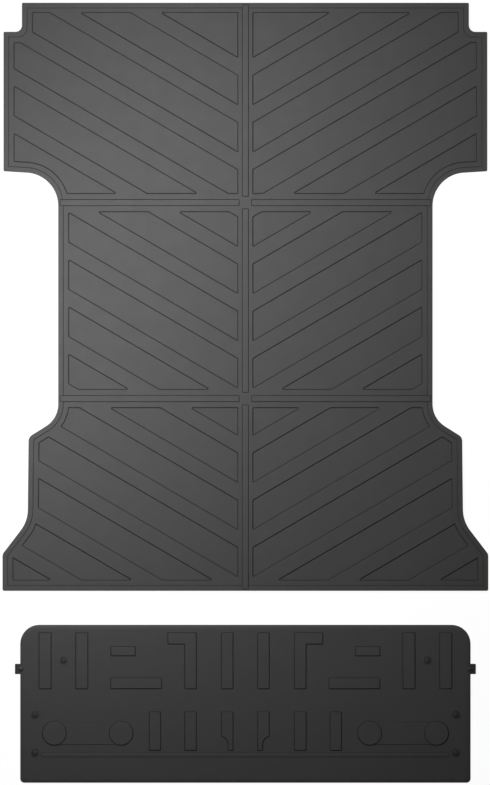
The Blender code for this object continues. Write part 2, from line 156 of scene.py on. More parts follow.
class Outline:
    """A closed line in plan, counter-clockwise, through corners that may be rounded."""

    def __init__(self, corners: list[Corner]) -> None:
        """Keeps the corners, turned round if they run clockwise.

        Args:
            corners: The corners, in either direction.
        """
        self.corners = corners
        if self.area() < 0:
            self.corners = corners[::-1]

    def area(self) -> float:
        """The signed area, with the corners taken as sharp."""
        pairs = zip(self.corners, self.corners[1:] + self.corners[:1])
        return sum(a.x * b.y - b.x * a.y for a, b in pairs) / 2

    def turns(self) -> list[tuple[np.ndarray, np.ndarray, float]]:
        """Each corner's headings in and out, and the turn between them.

        Returns:
            For each corner, the unit vectors in and out and the turn in radians.
        """
        found = []
        for index, corner in enumerate(self.corners):
            arriving = heading(self.corners[index - 1], corner)
            leaving = heading(corner, self.corners[(index + 1) % len(self.corners)])
            found.append((arriving, leaving, turn_between(arriving, leaving)))
        return found

    def rounded(self, radius: float) -> "Outline":
        """The same outline, with a radius on every corner that turns sharply.

        Args:
            radius: The radius for every corner that turns by more than SEEN_TURN.

        Returns:
            The new outline.
        """
        corners = []
        for corner, (_, _, turn) in zip(self.corners, self.turns()):
            sharp = abs(turn) > SEEN_TURN
            corners.append(Corner(corner.x, corner.y, radius if sharp else corner.radius))
        return Outline(corners)

    def inset(self, distance: float) -> "Outline":
        """The outline moved inwards, or outwards by a negative distance.

        Args:
            distance: How far it moves.

        Returns:
            The new outline. A radius shrinks at an outer corner and grows at an inner one.
        """
        moved = []
        for corner, (arriving, leaving, turn) in zip(self.corners, self.turns()):
            first = np.array((-arriving[1], arriving[0]))
            second = np.array((-leaving[1], leaving[0]))
            shift = (first + second) * distance / (1 + first @ second)
            radius = corner.radius
            if turn > 0 and radius > 0:
                radius = max(radius - distance, 0)
            elif turn < 0 and (radius > 0 or turn < -SEEN_TURN):
                radius = max(radius + distance, 0)
            moved.append(Corner(corner.x + shift[0], corner.y + shift[1], radius))
        return Outline(moved)

    def clip(self, keep: Callable[[Corner], float]) -> "Outline | None":
        """The part where a linear function isn't negative.

        Args:
            keep: The function, positive on the side that stays.

        Returns:
            The clipped outline, or None if nothing stays.
        """
        kept: list[Corner] = []
        for index, corner in enumerate(self.corners):
            before = self.corners[index - 1]
            level, level_before = keep(corner), keep(before)
            if (level > 0) != (level_before > 0):
                share = level_before / (level_before - level)
                x = before.x + (corner.x - before.x) * share
                y = before.y + (corner.y - before.y) * share
                kept.append(Corner(x, y))
            if level > 0:
                kept.append(corner)
        return Outline(kept) if len(kept) > 2 else None

    def mirrored(self) -> "Outline":
        """The outline on the other side of the centreline."""
        return Outline([Corner(-c.x, c.y, c.radius) for c in self.corners])

    def line(self, degrees: float = ARC_DEGREES) -> np.ndarray:
        """The outline as an array of points, with its rounded corners as arcs.

        Args:
            degrees: The most that one straight piece of an arc turns.

        Returns:
            The points, one in each row.
        """
        points: list[Point] = []
        for index, (corner, (arriving, leaving, turn)) in enumerate(
            zip(self.corners, self.turns())
        ):
            before = self.corners[index - 1]
            after = self.corners[(index + 1) % len(self.corners)]
            room = 0.49 * min(
                math.dist((before.x, before.y), (corner.x, corner.y)),
                math.dist((after.x, after.y), (corner.x, corner.y)),
            )
            run = min(corner.radius * math.tan(abs(turn) / 2), room)
            if run < MERGE * 100:
                points.append((corner.x, corner.y))
                continue
            radius = run / math.tan(abs(turn) / 2)
            left = np.array((-arriving[1], arriving[0])) * math.copysign(1, turn)
            start = np.array((corner.x, corner.y)) - arriving * run
            centre = start + left * radius
            first = math.atan2(*(start - centre)[::-1])
            steps = max(2, math.ceil(abs(math.degrees(turn)) / degrees))
            for step in range(steps + 1):
                angle = first + turn * step / steps
                x = centre[0] + radius * math.cos(angle)
                points.append((x, centre[1] + radius * math.sin(angle)))
        return np.array(points)


def rectangle(left: float, right: float, low: float, high: float, radius: float = 0.0) -> Outline:
    """A rectangle with its sides along X and Y."""
    places = ((left, low), (right, low), (right, high), (left, high))
    return Outline([Corner(x, y, radius) for x, y in places])


def circle(centre: Point, radius: float, sides: int = 48) -> Outline:
    """A circle as an outline with many corners."""
    return Outline(arc(centre, radius, 0, 360, sides)[:-1])


def depth_inside(points: np.ndarray, line: np.ndarray) -> np.ndarray:
    """How far points lie inside a closed line.

    Args:
        points: The points, one in each row.
        line: The line's own points, one in each row.

    Returns:
        The distance of each point to the line, negative outside it.
    """
    nearest = np.full(len(points), np.inf)
    inside = np.zeros(len(points), bool)
    x, y = points[:, 0], points[:, 1]
    for (ax, ay), (bx, by) in zip(line, np.roll(line, -1, axis=0)):
        dx, dy = bx - ax, by - ay
        share = np.clip(((x - ax) * dx + (y - ay) * dy) / (dx * dx + dy * dy), 0, 1)
        nearest = np.minimum(nearest, np.hypot(x - ax - share * dx, y - ay - share * dy))
        if dy:
            crossed = ((ay > y) != (by > y)) & (x < ax + (y - ay) * dx / dy)
            inside ^= crossed
    return np.where(inside, nearest, -nearest)


# ---------------------------------------------------------------- moulded sheets


@dataclass(frozen=True)
class Station:
    """One point of a step's section.

    Its blend is 0 at the level outside the step and 1 at the level inside it.
    """

    distance: float
    blend: float
    dip: float = 0.0


@dataclass(frozen=True)
class Step:
    """The section of a step, as stations from its outer line inwards."""

    stations: tuple[Station, ...]

    @staticmethod
    def eased(share: float) -> float:
        """A smooth rise from 0 to 1."""
        return (1 - math.cos(math.pi * min(max(share, 0), 1))) / 2

    @classmethod
    def sunk(cls, start: float, width: float, groove: float) -> "Step":
        """A step down, with a shallow groove along its inner foot.

        Args:
            start: How far inside its outline it begins.
            width: How wide its wall is in plan.
            groove: How deep the groove is.

        Returns:
            The step.
        """
        return cls.along(start, width, groove, SECTION)

    @classmethod
    def raised(cls, start: float, width: float, groove: float) -> "Step":
        """A step up, with a shallow groove along its outer foot.

        Args:
            start: How far inside its outline it begins.
            width: How wide its wall is in plan.
            groove: How deep the groove is.

        Returns:
            The step.
        """
        mirrored = tuple((round(1 - share, 2), dip) for share, dip in reversed(SECTION))
        return cls.along(start, width, groove, mirrored)

    @classmethod
    def along(
        cls, start: float, width: float, groove: float, section: tuple[tuple[float, float], ...]
    ) -> "Step":
        """A step that follows a section.

        Args:
            start: How far inside its outline it begins.
            width: How wide its wall is in plan.
            groove: How deep its groove is.
            section: Each station's share of the width and of the groove's depth.

        Returns:
            The step.
        """
        return cls(
            tuple(
                Station(start + width * share, cls.eased(share), groove * dip)
                for share, dip in section
            )
        )

    @classmethod
    def quarter(cls, radius: float) -> "Step":
        """A quarter round, from upright at its outer line to level at its inner one."""
        angles = [math.radians(a) for a in (0, 18, 36, 54, 72, 90)]
        return cls(tuple(Station(radius * (1 - math.cos(a)), math.sin(a)) for a in angles))

    @classmethod
    def sheer(cls, width: float = 0.0003) -> "Step":
        """An all but upright wall."""
        return cls((Station(0, 0), Station(width, 1)))

    def column(self, name: str) -> list[float]:
        """One value of every station."""
        return [getattr(station, name) for station in self.stations]


@dataclass
class Relief:
    """One raised or sunk patch of a sheet's face."""

    step: Step
    level: float
    region: np.ndarray
    rings: list[np.ndarray]
    closed: bool = True
    # The share of painted shade on its walls and at its groove's foot.
    shade: float = 1.0

    @classmethod
    def of(cls, outline: Outline, step: Step, level: float, shade: float = 1.0) -> "Relief":
        """A patch whose contour lines are its outline moved inwards."""
        rings = [outline.inset(station.distance).line() for station in step.stations]
        return cls(step, level, outline.line(), rings, shade=shade)

    def lay(
        self,
        flat: np.ndarray,
        own: list[tuple[int, int]],
        heights: np.ndarray,
        grooves: np.ndarray,
    ) -> tuple[np.ndarray, np.ndarray]:
        """Lays the patch over a face.

        Args:
            flat: The face's points in plan.
            own: The points on the patch's own contour lines, each with its station's rank.
            heights: The points' heights so far.
            grooves: How much painted shade the points take so far.

        Returns:
            The new heights, and how much painted shade the points take now.
        """
        depth = depth_inside(flat, self.region)
        distances = self.step.column("distance")
        blends, dips = self.step.column("blend"), self.step.column("dip")
        blend, dip = np.interp(depth, distances, blends), np.interp(depth, distances, dips)
        for index, rank in own:
            blend[index], dip[index] = blends[rank], dips[rank]
        # Painted shade: darker down the wall, darkest at the groove's foot; a later patch paints over
        # the shade beneath it.
        wall = np.maximum(WALL_SHADE * 4 * blend * (1 - blend), dip / max(max(dips), MERGE))
        raised = heights * (1 - blend) + self.level * blend - dip
        return raised, np.maximum(grooves * (1 - blend), wall * self.shade)


@dataclass
class Face:
    """The mesh of one face of a sheet."""

    points: np.ndarray
    triangles: np.ndarray
    loops: list[list[int]]
    # How much painted shade each point takes.
    grooves: np.ndarray


@dataclass
class Contours:
    """The lines that a face's mesh is built on, each with the patch and station it belongs to."""

    spots: list[np.ndarray] = field(default_factory=list)
    edges: list[tuple[int, int]] = field(default_factory=list)
    owners: list[tuple[int, int] | None] = field(default_factory=list)

    def add(
        self, line: np.ndarray, owner: tuple[int, int] | None = None, closed: bool = True
    ) -> range:
        """Adds one line.

        Args:
            line: Its points.
            owner: Its patch's number and its station's rank, or None for a border.
            closed: Whether its end joins its start.

        Returns:
            The indices of its points.
        """
        first, count = len(self.spots), len(line)
        self.spots.extend(line)
        self.owners.extend([owner] * count)
        self.edges.extend((first + i, first + i + 1) for i in range(count - 1))
        if closed:
            self.edges.append((first + count - 1, first))
        return range(first, first + count)

    def joined(self) -> tuple[np.ndarray, np.ndarray, dict[int, int]]:
        """Fills the plan with triangles that have every line among their edges.

        Returns:
            The points, the triangles, and the point that each added spot became.
        """
        vectors = [Vector(spot) for spot in self.spots]
        found = geometry.delaunay_2d_cdt(vectors, self.edges, [], 0, MERGE, True)
        place = {source: index for index, sources in enumerate(found[3]) for source in sources}
        return np.array([tuple(point) for point in found[0]]), np.array(found[2]), place


@dataclass
class MouldedSheet:
    """A flat moulding: an outline, holes through it, and relief on its two faces."""

    outline: np.ndarray
    edge_level: float
    top: list[Relief]
    bottom: list[Relief] = field(default_factory=list)
    holes: list[np.ndarray] = field(default_factory=list)

    def face(self, base: float, reliefs: list[Relief]) -> Face:
        """Joins a face's contour lines into one mesh and gives each point its height.

        Args:
            base: The level before any relief.
            reliefs: The patches, each laid over the ones before it.

        Returns:
            The face, with its boundary loops as indices into its points.
        """
        contours = Contours()
        borders = [contours.add(line) for line in [self.outline, *self.holes]]
        for number, relief in enumerate(reliefs):
            for rank, ring in enumerate(relief.rings):
                for piece, closed in self.clear_of_holes(ring, relief.closed):
                    contours.add(piece, (number, rank), closed)
        flat, triangles, place = contours.joined()

        owned: list[list[tuple[int, int]]] = [[] for _ in reliefs]
        for source, owner in enumerate(contours.owners):
            if owner is not None:
                owned[owner[0]].append((place[source], owner[1]))
        heights, grooves = np.full(len(flat), float(base)), np.zeros(len(flat))
        for relief, own in zip(reliefs, owned):
            heights, grooves = relief.lay(flat, own, heights, grooves)

        middles = flat[triangles].mean(axis=1)
        kept = depth_inside(middles, self.outline) > 0
        for hole in self.holes:
            kept &= depth_inside(middles, hole) < 0
        loops = [[place[index] for index in border] for border in borders]
        return Face(np.column_stack((flat, heights)), triangles[kept], loops, grooves)

    def clear_of_holes(self, ring: np.ndarray, closed: bool) -> list[tuple[np.ndarray, bool]]:
        """Cuts a contour line where it would run across a hole.

        Args:
            ring: The line's points.
            closed: Whether its end joins its start.

        Returns:
            What is left of the line, as pieces, each with whether it is closed.
        """
        ends = np.roll(ring, -1, axis=0) if closed else ring[1:]
        crossed = []
        for hole in self.holes:
            centre = hole.mean(axis=0)
            reach = np.linalg.norm(hole - centre, axis=1).max() + GAP
            for index, (start, end) in enumerate(zip(ring, ends)):
                step = end - start
                length = np.linalg.norm(step)
                along = (centre - start) @ step / length
                half = reach**2 - np.linalg.norm(centre - start) ** 2 + along**2
                half = math.sqrt(max(half, 0))
                if half > 0 and -half < along < length + half:
                    crossed.append((index, (along - half) / length, (along + half) / length))
        if not crossed:
            return [(ring, closed)]
        pieces, current = [], [ring[0]]
        for index, (start, end) in enumerate(zip(ring, ends)):
            for _, first, last in sorted(c for c in crossed if c[0] == index):
                current.append(start + (end - start) * first)
                pieces.append((np.array(current), False))
                current = [start + (end - start) * last]
            current.append(end)
        pieces.append((np.array(current), False))
        return pieces

    def build(
        self, name: str, material: bpy.types.Material, sharp: float = 42.0
    ) -> bpy.types.Object:
        """Makes the sheet's object: both faces, the walls round it and the walls of its holes.

        Args:
            name: The object's name.
            material: Its material.
            sharp: The edge angle in degrees above which an edge stays sharp.

        Returns:
            The object, at the origin, with a "groove" value of painted shade at each point.
        """
        top = self.face(self.edge_level, self.top)
        bottom = self.face(0, self.bottom)
        shift = len(top.points)
        faces = [tuple(t) for t in top.triangles]
        faces += [tuple(int(i) + shift for i in t[::-1]) for t in bottom.triangles]
        for number, (upper, lower) in enumerate(zip(top.loops, bottom.loops)):
            for index in range(len(upper)):
                after = (index + 1) % len(upper)
                wall = (upper[index], upper[after], lower[after] + shift, lower[index] + shift)
                faces.append(wall[::-1] if number == 0 else wall)
        mesh = bpy.data.meshes.new(name)
        mesh.from_pydata(np.vstack((top.points, bottom.points)).tolist(), [], faces)
        # Each point's painted shade goes on the mesh as its "groove" value.
        values = np.concatenate((top.grooves, bottom.grooves)).astype(np.float32)
        mesh.attributes.new("groove", "FLOAT", "POINT").data.foreach_set("value", values)
        return finished(name, mesh, material, sharp)


# ---------------------------------------------------------------- mesh helpers


def stand(name: str, data: bpy.types.ID) -> bpy.types.Object:
    """Puts a new object in the scene, at the origin.

    Args:
        name: The object's name.
        data: Its mesh, light or camera.

    Returns:
        The object.
    """
    made = bpy.data.objects.new(name, data)
    bpy.context.scene.collection.objects.link(made)
    return made


def finished(
    name: str, mesh: bpy.types.Mesh, material: bpy.types.Material, sharp: float = 42.0
) -> bpy.types.Object:
    """Tidies a mesh, smooths it between its sharp edges and makes it an object.

    Args:
        name: The object's name.
        mesh: Its mesh, in the frame's own coordinates.
        material: Its material.
        sharp: The edge angle in degrees above which an edge stays sharp.

    Returns:
        The object, at the origin, with weighted normals as plain mesh data.
    """
    tidy = bmesh.new()
    tidy.from_mesh(mesh)
    bmesh.ops.remove_doubles(tidy, verts=tidy.verts, dist=1e-6)
    loose = [v for v in tidy.verts if not v.link_faces]
    bmesh.ops.delete(tidy, geom=loose, context="VERTS")
    bmesh.ops.recalc_face_normals(tidy, faces=tidy.faces)
    tidy.to_mesh(mesh)
    tidy.free()
    mesh.shade_smooth()
    mesh.set_sharp_from_angle(angle=math.radians(sharp))
    mesh.materials.append(material)
    piece = stand(name, mesh)
    weighted = piece.modifiers.new("even_normals", "WEIGHTED_NORMAL")
    weighted.weight = 100
    weighted.keep_sharp = True
    return applied(piece)


def applied(piece: bpy.types.Object) -> bpy.types.Object:
    """Turns a piece's modifiers into plain mesh data.

    Args:
        piece: The piece.

    Returns:
        The piece, with no modifier left on it.
    """
    view = bpy.context.evaluated_depsgraph_get()
    mesh = bpy.data.meshes.new_from_object(
        piece.evaluated_get(view), preserve_all_data_layers=True, depsgraph=view
    )
    mesh.name = piece.name
    piece.modifiers.clear()
    piece.data = mesh
    return piece


def turned(
    name: str,
    centre: Point,
    profile: list[Point],
    material: bpy.types.Material,
    sides: int = 48,
    sharp: float = 42.0,
) -> bpy.types.Object:
    """A round piece, turned from a closed profile.

    Args:
        name: The object's name.
        centre: Where its axis stands in plan.
        profile: (radius, height) points. A radius of 0 is a point on the axis.
        material: Its material.
        sides: How many sides it has.
        sharp: The edge angle in degrees above which an edge stays sharp.

    Returns:
        The object.
    """
    bm = bmesh.new()
    rings = []
    for radius, height in profile:
        if radius == 0:
            rings.append([bm.verts.new((*centre, height))] * sides)
            continue
        spots = arc(centre, radius, 0, 360, sides)[:-1]
        rings.append([bm.verts.new((spot.x, spot.y, height)) for spot in spots])
    for lower, upper in zip(rings, rings[1:] + rings[:1]):
        for index in range(sides):
            after = (index + 1) % sides
            around = (lower[index], lower[after], upper[after], upper[index])
            distinct = list(dict.fromkeys(around))
            if len(distinct) > 2:
                bm.faces.new(distinct)
    mesh = bpy.data.meshes.new(name)
    bm.to_mesh(mesh)
    bm.free()
    return finished(name, mesh, material, sharp)


def bend(centre: Point, radius: float, start: float, end: float, steps: int = 4) -> list[Point]:
    """The points of an arc in a profile, from one angle in degrees to another."""
    return [(corner.x, corner.y) for corner in arc(centre, radius, start, end, steps)]


def placed(piece: bpy.types.Object, body: str, slot: Slot, *nodes: str) -> bpy.types.Object:
    """Puts a finished piece on its body and reports it.

    Args:
        piece: The piece.
        body: The body it rides on.
        slot: The record's material slot. It is not used.
        nodes: The CAD nodes that it stands for.

    Returns:
        The piece.
    """
    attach(piece, body)
    if nodes:
        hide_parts(*nodes)
    log.info("%s rides on %s, %d faces", piece.name, body, len(piece.data.polygons))
    return piece


def middle_of(node: str) -> Point:
    """The middle of a CAD node in plan."""
    low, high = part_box(node)
    return ((low.x + high.x) / 2, (low.y + high.y) / 2)


# ---------------------------------------------------------------- finishes


class Nodes:
    """A node tree, built a node at a time."""

    prefix = "ShaderNode"

    def __init__(self, tree: bpy.types.NodeTree) -> None:
        """Takes up a tree."""
        self.tree = tree

    def feed(self, socket: bpy.types.NodeSocket, value: object) -> None:
        """Links a socket to another node's output, or sets its own value.

        Args:
            socket: The input socket.
            value: An output socket, or a plain value.
        """
        if isinstance(value, bpy.types.NodeSocket):
            self.tree.links.new(value, socket)
        else:
            socket.default_value = value

    def node(self, kind: str, **inputs: object) -> bpy.types.Node:
        """Adds a node.

        Args:
            kind: Its type, which may leave out the tree's own prefix.
            inputs: Values or output sockets, by socket name with spaces as underscores.

        Returns:
            The node.
        """
        whole = kind.startswith(("ShaderNode", "FunctionNode"))
        node = self.tree.nodes.new(kind if whole else self.prefix + kind)
        for name, value in inputs.items():
            self.feed(node.inputs[name.replace("_", " ")], value)
        return node

    def math(self, operation: str, a: object, b: object) -> bpy.types.NodeSocket:
        """One arithmetic step.

        Args:
            operation: Its name, such as ADD.
            a: The first number or output socket.
            b: The second number or output socket.

        Returns:
            The result's socket.
        """
        node = self.node("ShaderNodeMath")
        node.operation = operation
        self.feed(node.inputs[0], a)
        self.feed(node.inputs[1], b)
        return node.outputs[0]


class Shader(Nodes):
    """A material's node tree round a Principled shader."""

    def __init__(self, name: str) -> None:
        """Makes a material with its shader.

        Args:
            name: The material's name.
        """
        self.material = bpy.data.materials.new(name)
        self.material.use_nodes = True
        super().__init__(self.material.node_tree)
        self.surface = self.tree.nodes["Principled BSDF"]
        self.place = self.node("TexCoord").outputs["Object"]

    def noise(self, size: float, detail: float = 2.0, seed: float = 0.0) -> bpy.types.NodeSocket:
        """A noise pattern on the piece's own coordinates.

        Args:
            size: The size of its blots.
            detail: How many finer layers it has.
            seed: Which pattern it is.

        Returns:
            The pattern's value, about 0.5 on average.
        """
        node = self.node("TexNoise", Vector=self.place, Scale=1 / size, Detail=detail)
        node.noise_dimensions = "4D"
        self.feed(node.inputs["W"], seed)
        return node.outputs["Fac"]

    def attribute(self, name: str) -> bpy.types.NodeSocket:
        """A value stored on the mesh.

        Args:
            name: The value's name.

        Returns:
            Its socket.
        """
        node = self.node("Attribute")
        node.attribute_name = name
        return node.outputs["Fac"]

    def spread(
        self,
        value: bpy.types.NodeSocket,
        low: float,
        high: float,
        start: float = 0.3,
        end: float = 0.7,
    ) -> bpy.types.NodeSocket:
        """Stretches a value to another range.

        Args:
            value: The value's socket.
            low: What start becomes.
            high: What end becomes.
            start: The lowest value that counts.
            end: The highest value that counts.

        Returns:
            The stretched value's socket.
        """
        ends = {"From_Min": start, "From_Max": end, "To_Min": low, "To_Max": high}
        return self.node("MapRange", Value=value, **ends).outputs["Result"]

    def mix(
        self,
        share: bpy.types.NodeSocket,
        first: "Colour | bpy.types.NodeSocket",
        second: "Colour | bpy.types.NodeSocket",
    ) -> bpy.types.NodeSocket:
        """A colour between two others.

        Args:
            share: How much of the second there is, from 0 to 1.
            first: The first colour.
            second: The second colour.

        Returns:
            The mixed colour's socket.
        """
        node = self.node("ShaderNodeMix")
        node.data_type = "RGBA"
        self.feed(node.inputs["Factor"], share)
        entries = [socket for socket in node.inputs if socket.type == "RGBA"]
        for socket, colour in zip(entries, (first, second)):
            linked = isinstance(colour, bpy.types.NodeSocket)
            self.feed(socket, colour if linked else (*colour, 1))
        return next(socket for socket in node.outputs if socket.type == "RGBA")

    def bump(self, height: bpy.types.NodeSocket, distance: float, strength: float) -> None:
        """Roughens the surface by a height pattern.

        Args:
            height: The pattern.
            distance: How high its highest points stand.
            strength: How much of it shows, from 0 to 1.
        """
        node = self.node("Bump", Height=height, Distance=distance, Strength=strength)
        self.set("Normal", node.outputs["Normal"])

    def set(self, name: str, value: object) -> None:
        """Sets one of the shader's own sockets, or links a pattern to it."""
        self.feed(self.surface.inputs[name], value)


def scaled(colour: Colour, share: float) -> Colour:
    """A colour made darker or lighter."""
    return tuple(channel * share for channel in colour)


@dataclass(frozen=True)
class MouldedRubber:
    """Charcoal rubber from a textured mould, with painted shade down its walls and grooves."""

    name: str = "moulded_rubber"
    colour: Colour = (0.072, 0.072, 0.073)
    groove_share: float = 0.35
    mottle_share: float = 0.025
    mottle_size: float = 0.05
    grain_size: float = 0.0014
    roughness: float = 0.58
    groove_roughness: float = 0.2
    gloss: float = 0.25
    seed: float = 1.0

    def material(self) -> bpy.types.Material:
        """Builds the material.

        Returns:
            The material.
        """
        shader = Shader(self.name)
        mottle = shader.noise(self.mottle_size, 4, self.seed)
        grain = shader.noise(self.grain_size, 3, self.seed + 1)
        # The painted shade along the walls and grooves, read from the mesh.
        groove = shader.attribute("groove")
        light = scaled(self.colour, 1 + self.mottle_share)
        dark = scaled(self.colour, 1 - self.mottle_share)
        face = shader.mix(shader.spread(mottle, 0, 1), dark, light)
        # Painted shade: the colour darkens towards this down the walls and grooves.
        deep = scaled(self.colour, self.groove_share)
        shader.set("Base Color", shader.mix(groove, face, deep))
        worn = shader.spread(mottle, self.roughness + 0.03, self.roughness - 0.03)
        matt = shader.spread(groove, 0, self.groove_roughness, 0, 1)
        shader.set("Roughness", shader.math("ADD", worn, matt))
        shader.set("Specular IOR Level", self.gloss)
        shader.bump(grain, 0.0002, 0.35)
        return shader.material


@dataclass(frozen=True)
class MouldedNylon:
    """Black nylon with a fine eroded grain."""

    name: str = "moulded_nylon"
    colour: Colour = (0.038, 0.038, 0.039)
    roughness: float = 0.6
    grain_size: float = 0.0005
    seed: float = 5.0

    def material(self) -> bpy.types.Material:
        """Builds the material.

        Returns:
            The material.
        """
        shader = Shader(self.name)
        grain = shader.noise(self.grain_size, 2, self.seed)
        blots = shader.noise(self.grain_size * 30, 3, self.seed + 1)
        dark, light = scaled(self.colour, 0.85), scaled(self.colour, 1.2)
        shader.set("Base Color", shader.mix(shader.spread(blots, 0, 1), dark, light))
        low, high = self.roughness - 0.05, self.roughness + 0.05
        shader.set("Roughness", shader.spread(grain, low, high))
        shader.bump(grain, 0.0001, 0.3)
        return shader.material


@dataclass(frozen=True)
class CoatedSteel:
    """Steel with a black coat that is thin in places."""

    name: str = "coated_steel"
    colour: Colour = (0.05, 0.05, 0.051)
    bare: Colour = (0.14, 0.14, 0.137)
    roughness: float = 0.4
    seed: float = 9.0

    def material(self) -> bpy.types.Material:
        """Builds the material.

        Returns:
            The material.
        """
        shader = Shader(self.name)
        peel = shader.noise(0.0011, 2, self.seed)
        thin = shader.noise(0.004, 5, self.seed + 1)
        worn = shader.spread(thin, 0, 0.5, 0.56, 0.72)
        shader.set("Base Color", shader.mix(worn, self.colour, self.bare))
        low, high = self.roughness - 0.06, self.roughness + 0.1
        shader.set("Roughness", shader.spread(thin, low, high))
        shader.set("Metallic", 0.2)
        shader.bump(peel, 0.0001, 0.2)
        return shader.material


@dataclass(frozen=True)
class PaleFloor:
    """The studio's matt floor."""

    name: str = "pale_floor"
    colour: Colour = (0.16, 0.16, 0.16)
    glow: float = 0.93

    def material(self) -> bpy.types.Material:
        """Builds the material.

        Returns:
            The material.
        """
        shader = Shader(self.name)
        speckle = shader.noise(0.4, 2, 3.0)
        dark = scaled(self.colour, 0.995)
        shader.set("Base Color", shader.mix(shader.spread(speckle, 0, 1), dark, self.colour))
        shader.set("Roughness", 0.9)
        shader.set("Specular IOR Level", 0.0)
        shader.set("Emission Color", (1, 1, 1, 1))
        shader.set("Emission Strength", self.glow)
        return shader.material


# ---------------------------------------------------------------- repeats by nodes


class NodeBench(Nodes):
    """A Geometry Nodes tree with named inputs."""

    prefix = "GeometryNode"

    def __init__(self, name: str) -> None:
        """Makes an empty tree with its two ends.

        Args:
            name: The tree's name.
        """
        super().__init__(bpy.data.node_groups.new(name, "GeometryNodeTree"))
        for way in ("OUTPUT", "INPUT"):
            kind = "NodeSocketGeometry"
            self.tree.interface.new_socket("Geometry", in_out=way, socket_type=kind)
        self.start = self.tree.nodes.new("NodeGroupInput")
        self.end = self.tree.nodes.new("NodeGroupOutput")
        self.names: dict[str, str] = {}

    def inputs(self, kind: str, *names: str) -> list[bpy.types.NodeSocket]:
        """Adds named inputs of one kind.

        Args:
            kind: Their kind, such as Float.
            names: Their names.

        Returns:
            Their sockets inside the tree.
        """
        for name in names:
            kind_name = "NodeSocket" + kind
            made = self.tree.interface.new_socket(name, in_out="INPUT", socket_type=kind_name)
            self.names[name] = made.identifier
        return [self.start.outputs[name] for name in names]

    def vector(self, x: object, y: object, z: object) -> bpy.types.NodeSocket:
        """A vector from three numbers or sockets."""
        return self.node("ShaderNodeCombineXYZ", X=x, Y=y, Z=z).outputs[0]

    def finish(self, instances: bpy.types.NodeSocket, material: bpy.types.Material) -> None:
        """Realizes the instances, gives them their material and ends the tree.

        Args:
            instances: The socket that they come from.
            material: Their material.
        """
        real = self.node("RealizeInstances", Geometry=instances)
        painted = self.node("SetMaterial", Geometry=real.outputs[0], Material=material)
        self.feed(self.end.inputs[0], painted.outputs[0])

    def run(self, name: str, mesh: bpy.types.Mesh, **values: object) -> bpy.types.Object:
        """Runs the tree on a mesh and keeps the result as a plain mesh.

        Args:
            name: The name of the object that it makes.
            mesh: The mesh that the tree starts from.
            values: The tree's named inputs.

        Returns:
            The object.
        """
        piece = stand(name, mesh)
        modifier = piece.modifiers.new(self.tree.name, "NODES")
        modifier.node_group = self.tree
        for label, value in values.items():
            modifier[self.names[label]] = value
        return applied(piece)


@dataclass(frozen=True)
class GripNubs:
    """Rows of small nubs under a mat, which keep it from sliding."""

    spacing: float = 0.026
    radius: float = 0.0042
    tip_share: float = 0.6
    height: float = 0.0011
    sides: int = 10

    def bench(self, material: bpy.types.Material) -> NodeBench:
        """Makes the tree: two staggered grids, kept where they lie under the panel, with nubs on them.

        Args:
            material: The nubs' material.

        Returns:
            The tree.
        """
        bench = NodeBench("grip_nubs")
        names = ("Spacing", "Radius", "Height", "Width", "Length")
        spacing, radius, height, wide, deep = bench.inputs("Float", *names)
        (centre,) = bench.inputs("Vector", "Centre")
        sideways = bench.math("MULTIPLY", spacing, math.sqrt(3))
        columns = bench.math("ADD", bench.math("CEIL", bench.math("DIVIDE", wide, sideways), 0), 1)
        rows = bench.math("ADD", bench.math("CEIL", bench.math("DIVIDE", deep, spacing), 0), 1)
        across = bench.math("MULTIPLY", bench.math("SUBTRACT", columns, 1), sideways)
        along = bench.math("MULTIPLY", bench.math("SUBTRACT", rows, 1), spacing)
        joined = bench.node("JoinGeometry")
        for share in (0, 0.5):
            grid = bench.node(
                "MeshGrid", Size_X=across, Size_Y=along, Vertices_X=columns, Vertices_Y=rows
            )
            right, up = (bench.math("MULTIPLY", step, share) for step in (sideways, spacing))
            moved = grid.outputs["Mesh"]
            for shift in (bench.vector(right, up, 0.0), centre):
                moved = bench.node("Transform", Geometry=moved, Translation=shift).outputs[0]
            bench.feed(joined.inputs[0], moved)
        dots = bench.node("MeshToPoints", Mesh=joined.outputs[0])
        panel = bench.start.outputs["Geometry"]
        ray = bench.node("Raycast", Target_Geometry=panel, Ray_Direction=(0, 0, 1), Ray_Length=1.0)
        missed = bench.node("FunctionNodeBooleanMath", Boolean=ray.outputs["Is Hit"])
        missed.operation = "NOT"
        under = bench.node(
            "DeleteGeometry", Geometry=dots.outputs[0], Selection=missed.outputs[0]
        )
        nub = bench.node(
            "MeshCone",
            Vertices=self.sides,
            Radius_Top=bench.math("MULTIPLY", radius, self.tip_share),
            Radius_Bottom=radius,
            Depth=height,
        )
        nubs = bench.node(
            "InstanceOnPoints",
            Points=under.outputs[0],
            Instance=nub.outputs["Mesh"],
            Rotation=(math.pi, 0, 0),
        )
        bench.finish(nubs.outputs[0], material)
        return bench

    def build(
        self, name: str, panel: MouldedSheet, level: float, material: bpy.types.Material
    ) -> bpy.types.Object:
        """Makes the nubs that fit under one panel.

        Args:
            name: The object's name.
            panel: The area that they cover, as a sheet.
            level: The height of their roots.
            material: Their material.

        Returns:
            The object.
        """
        face = panel.face(level, [])
        mesh = bpy.data.meshes.new(name)
        mesh.from_pydata((face.points + (0, 0, 0.01)).tolist(), [], face.triangles.tolist())
        low, high = face.points.min(axis=0), face.points.max(axis=0)
        centre = (low + high) / 2
        return self.bench(material).run(
            name,
            mesh,
            Spacing=self.spacing,
            Radius=self.radius,
            Height=self.height,
            Width=float(high[0] - low[0]),
            Length=float(high[1] - low[1]),
            Centre=(float(centre[0]), float(centre[1]), level),
        )


# ---------------------------------------------------------------- bed mat


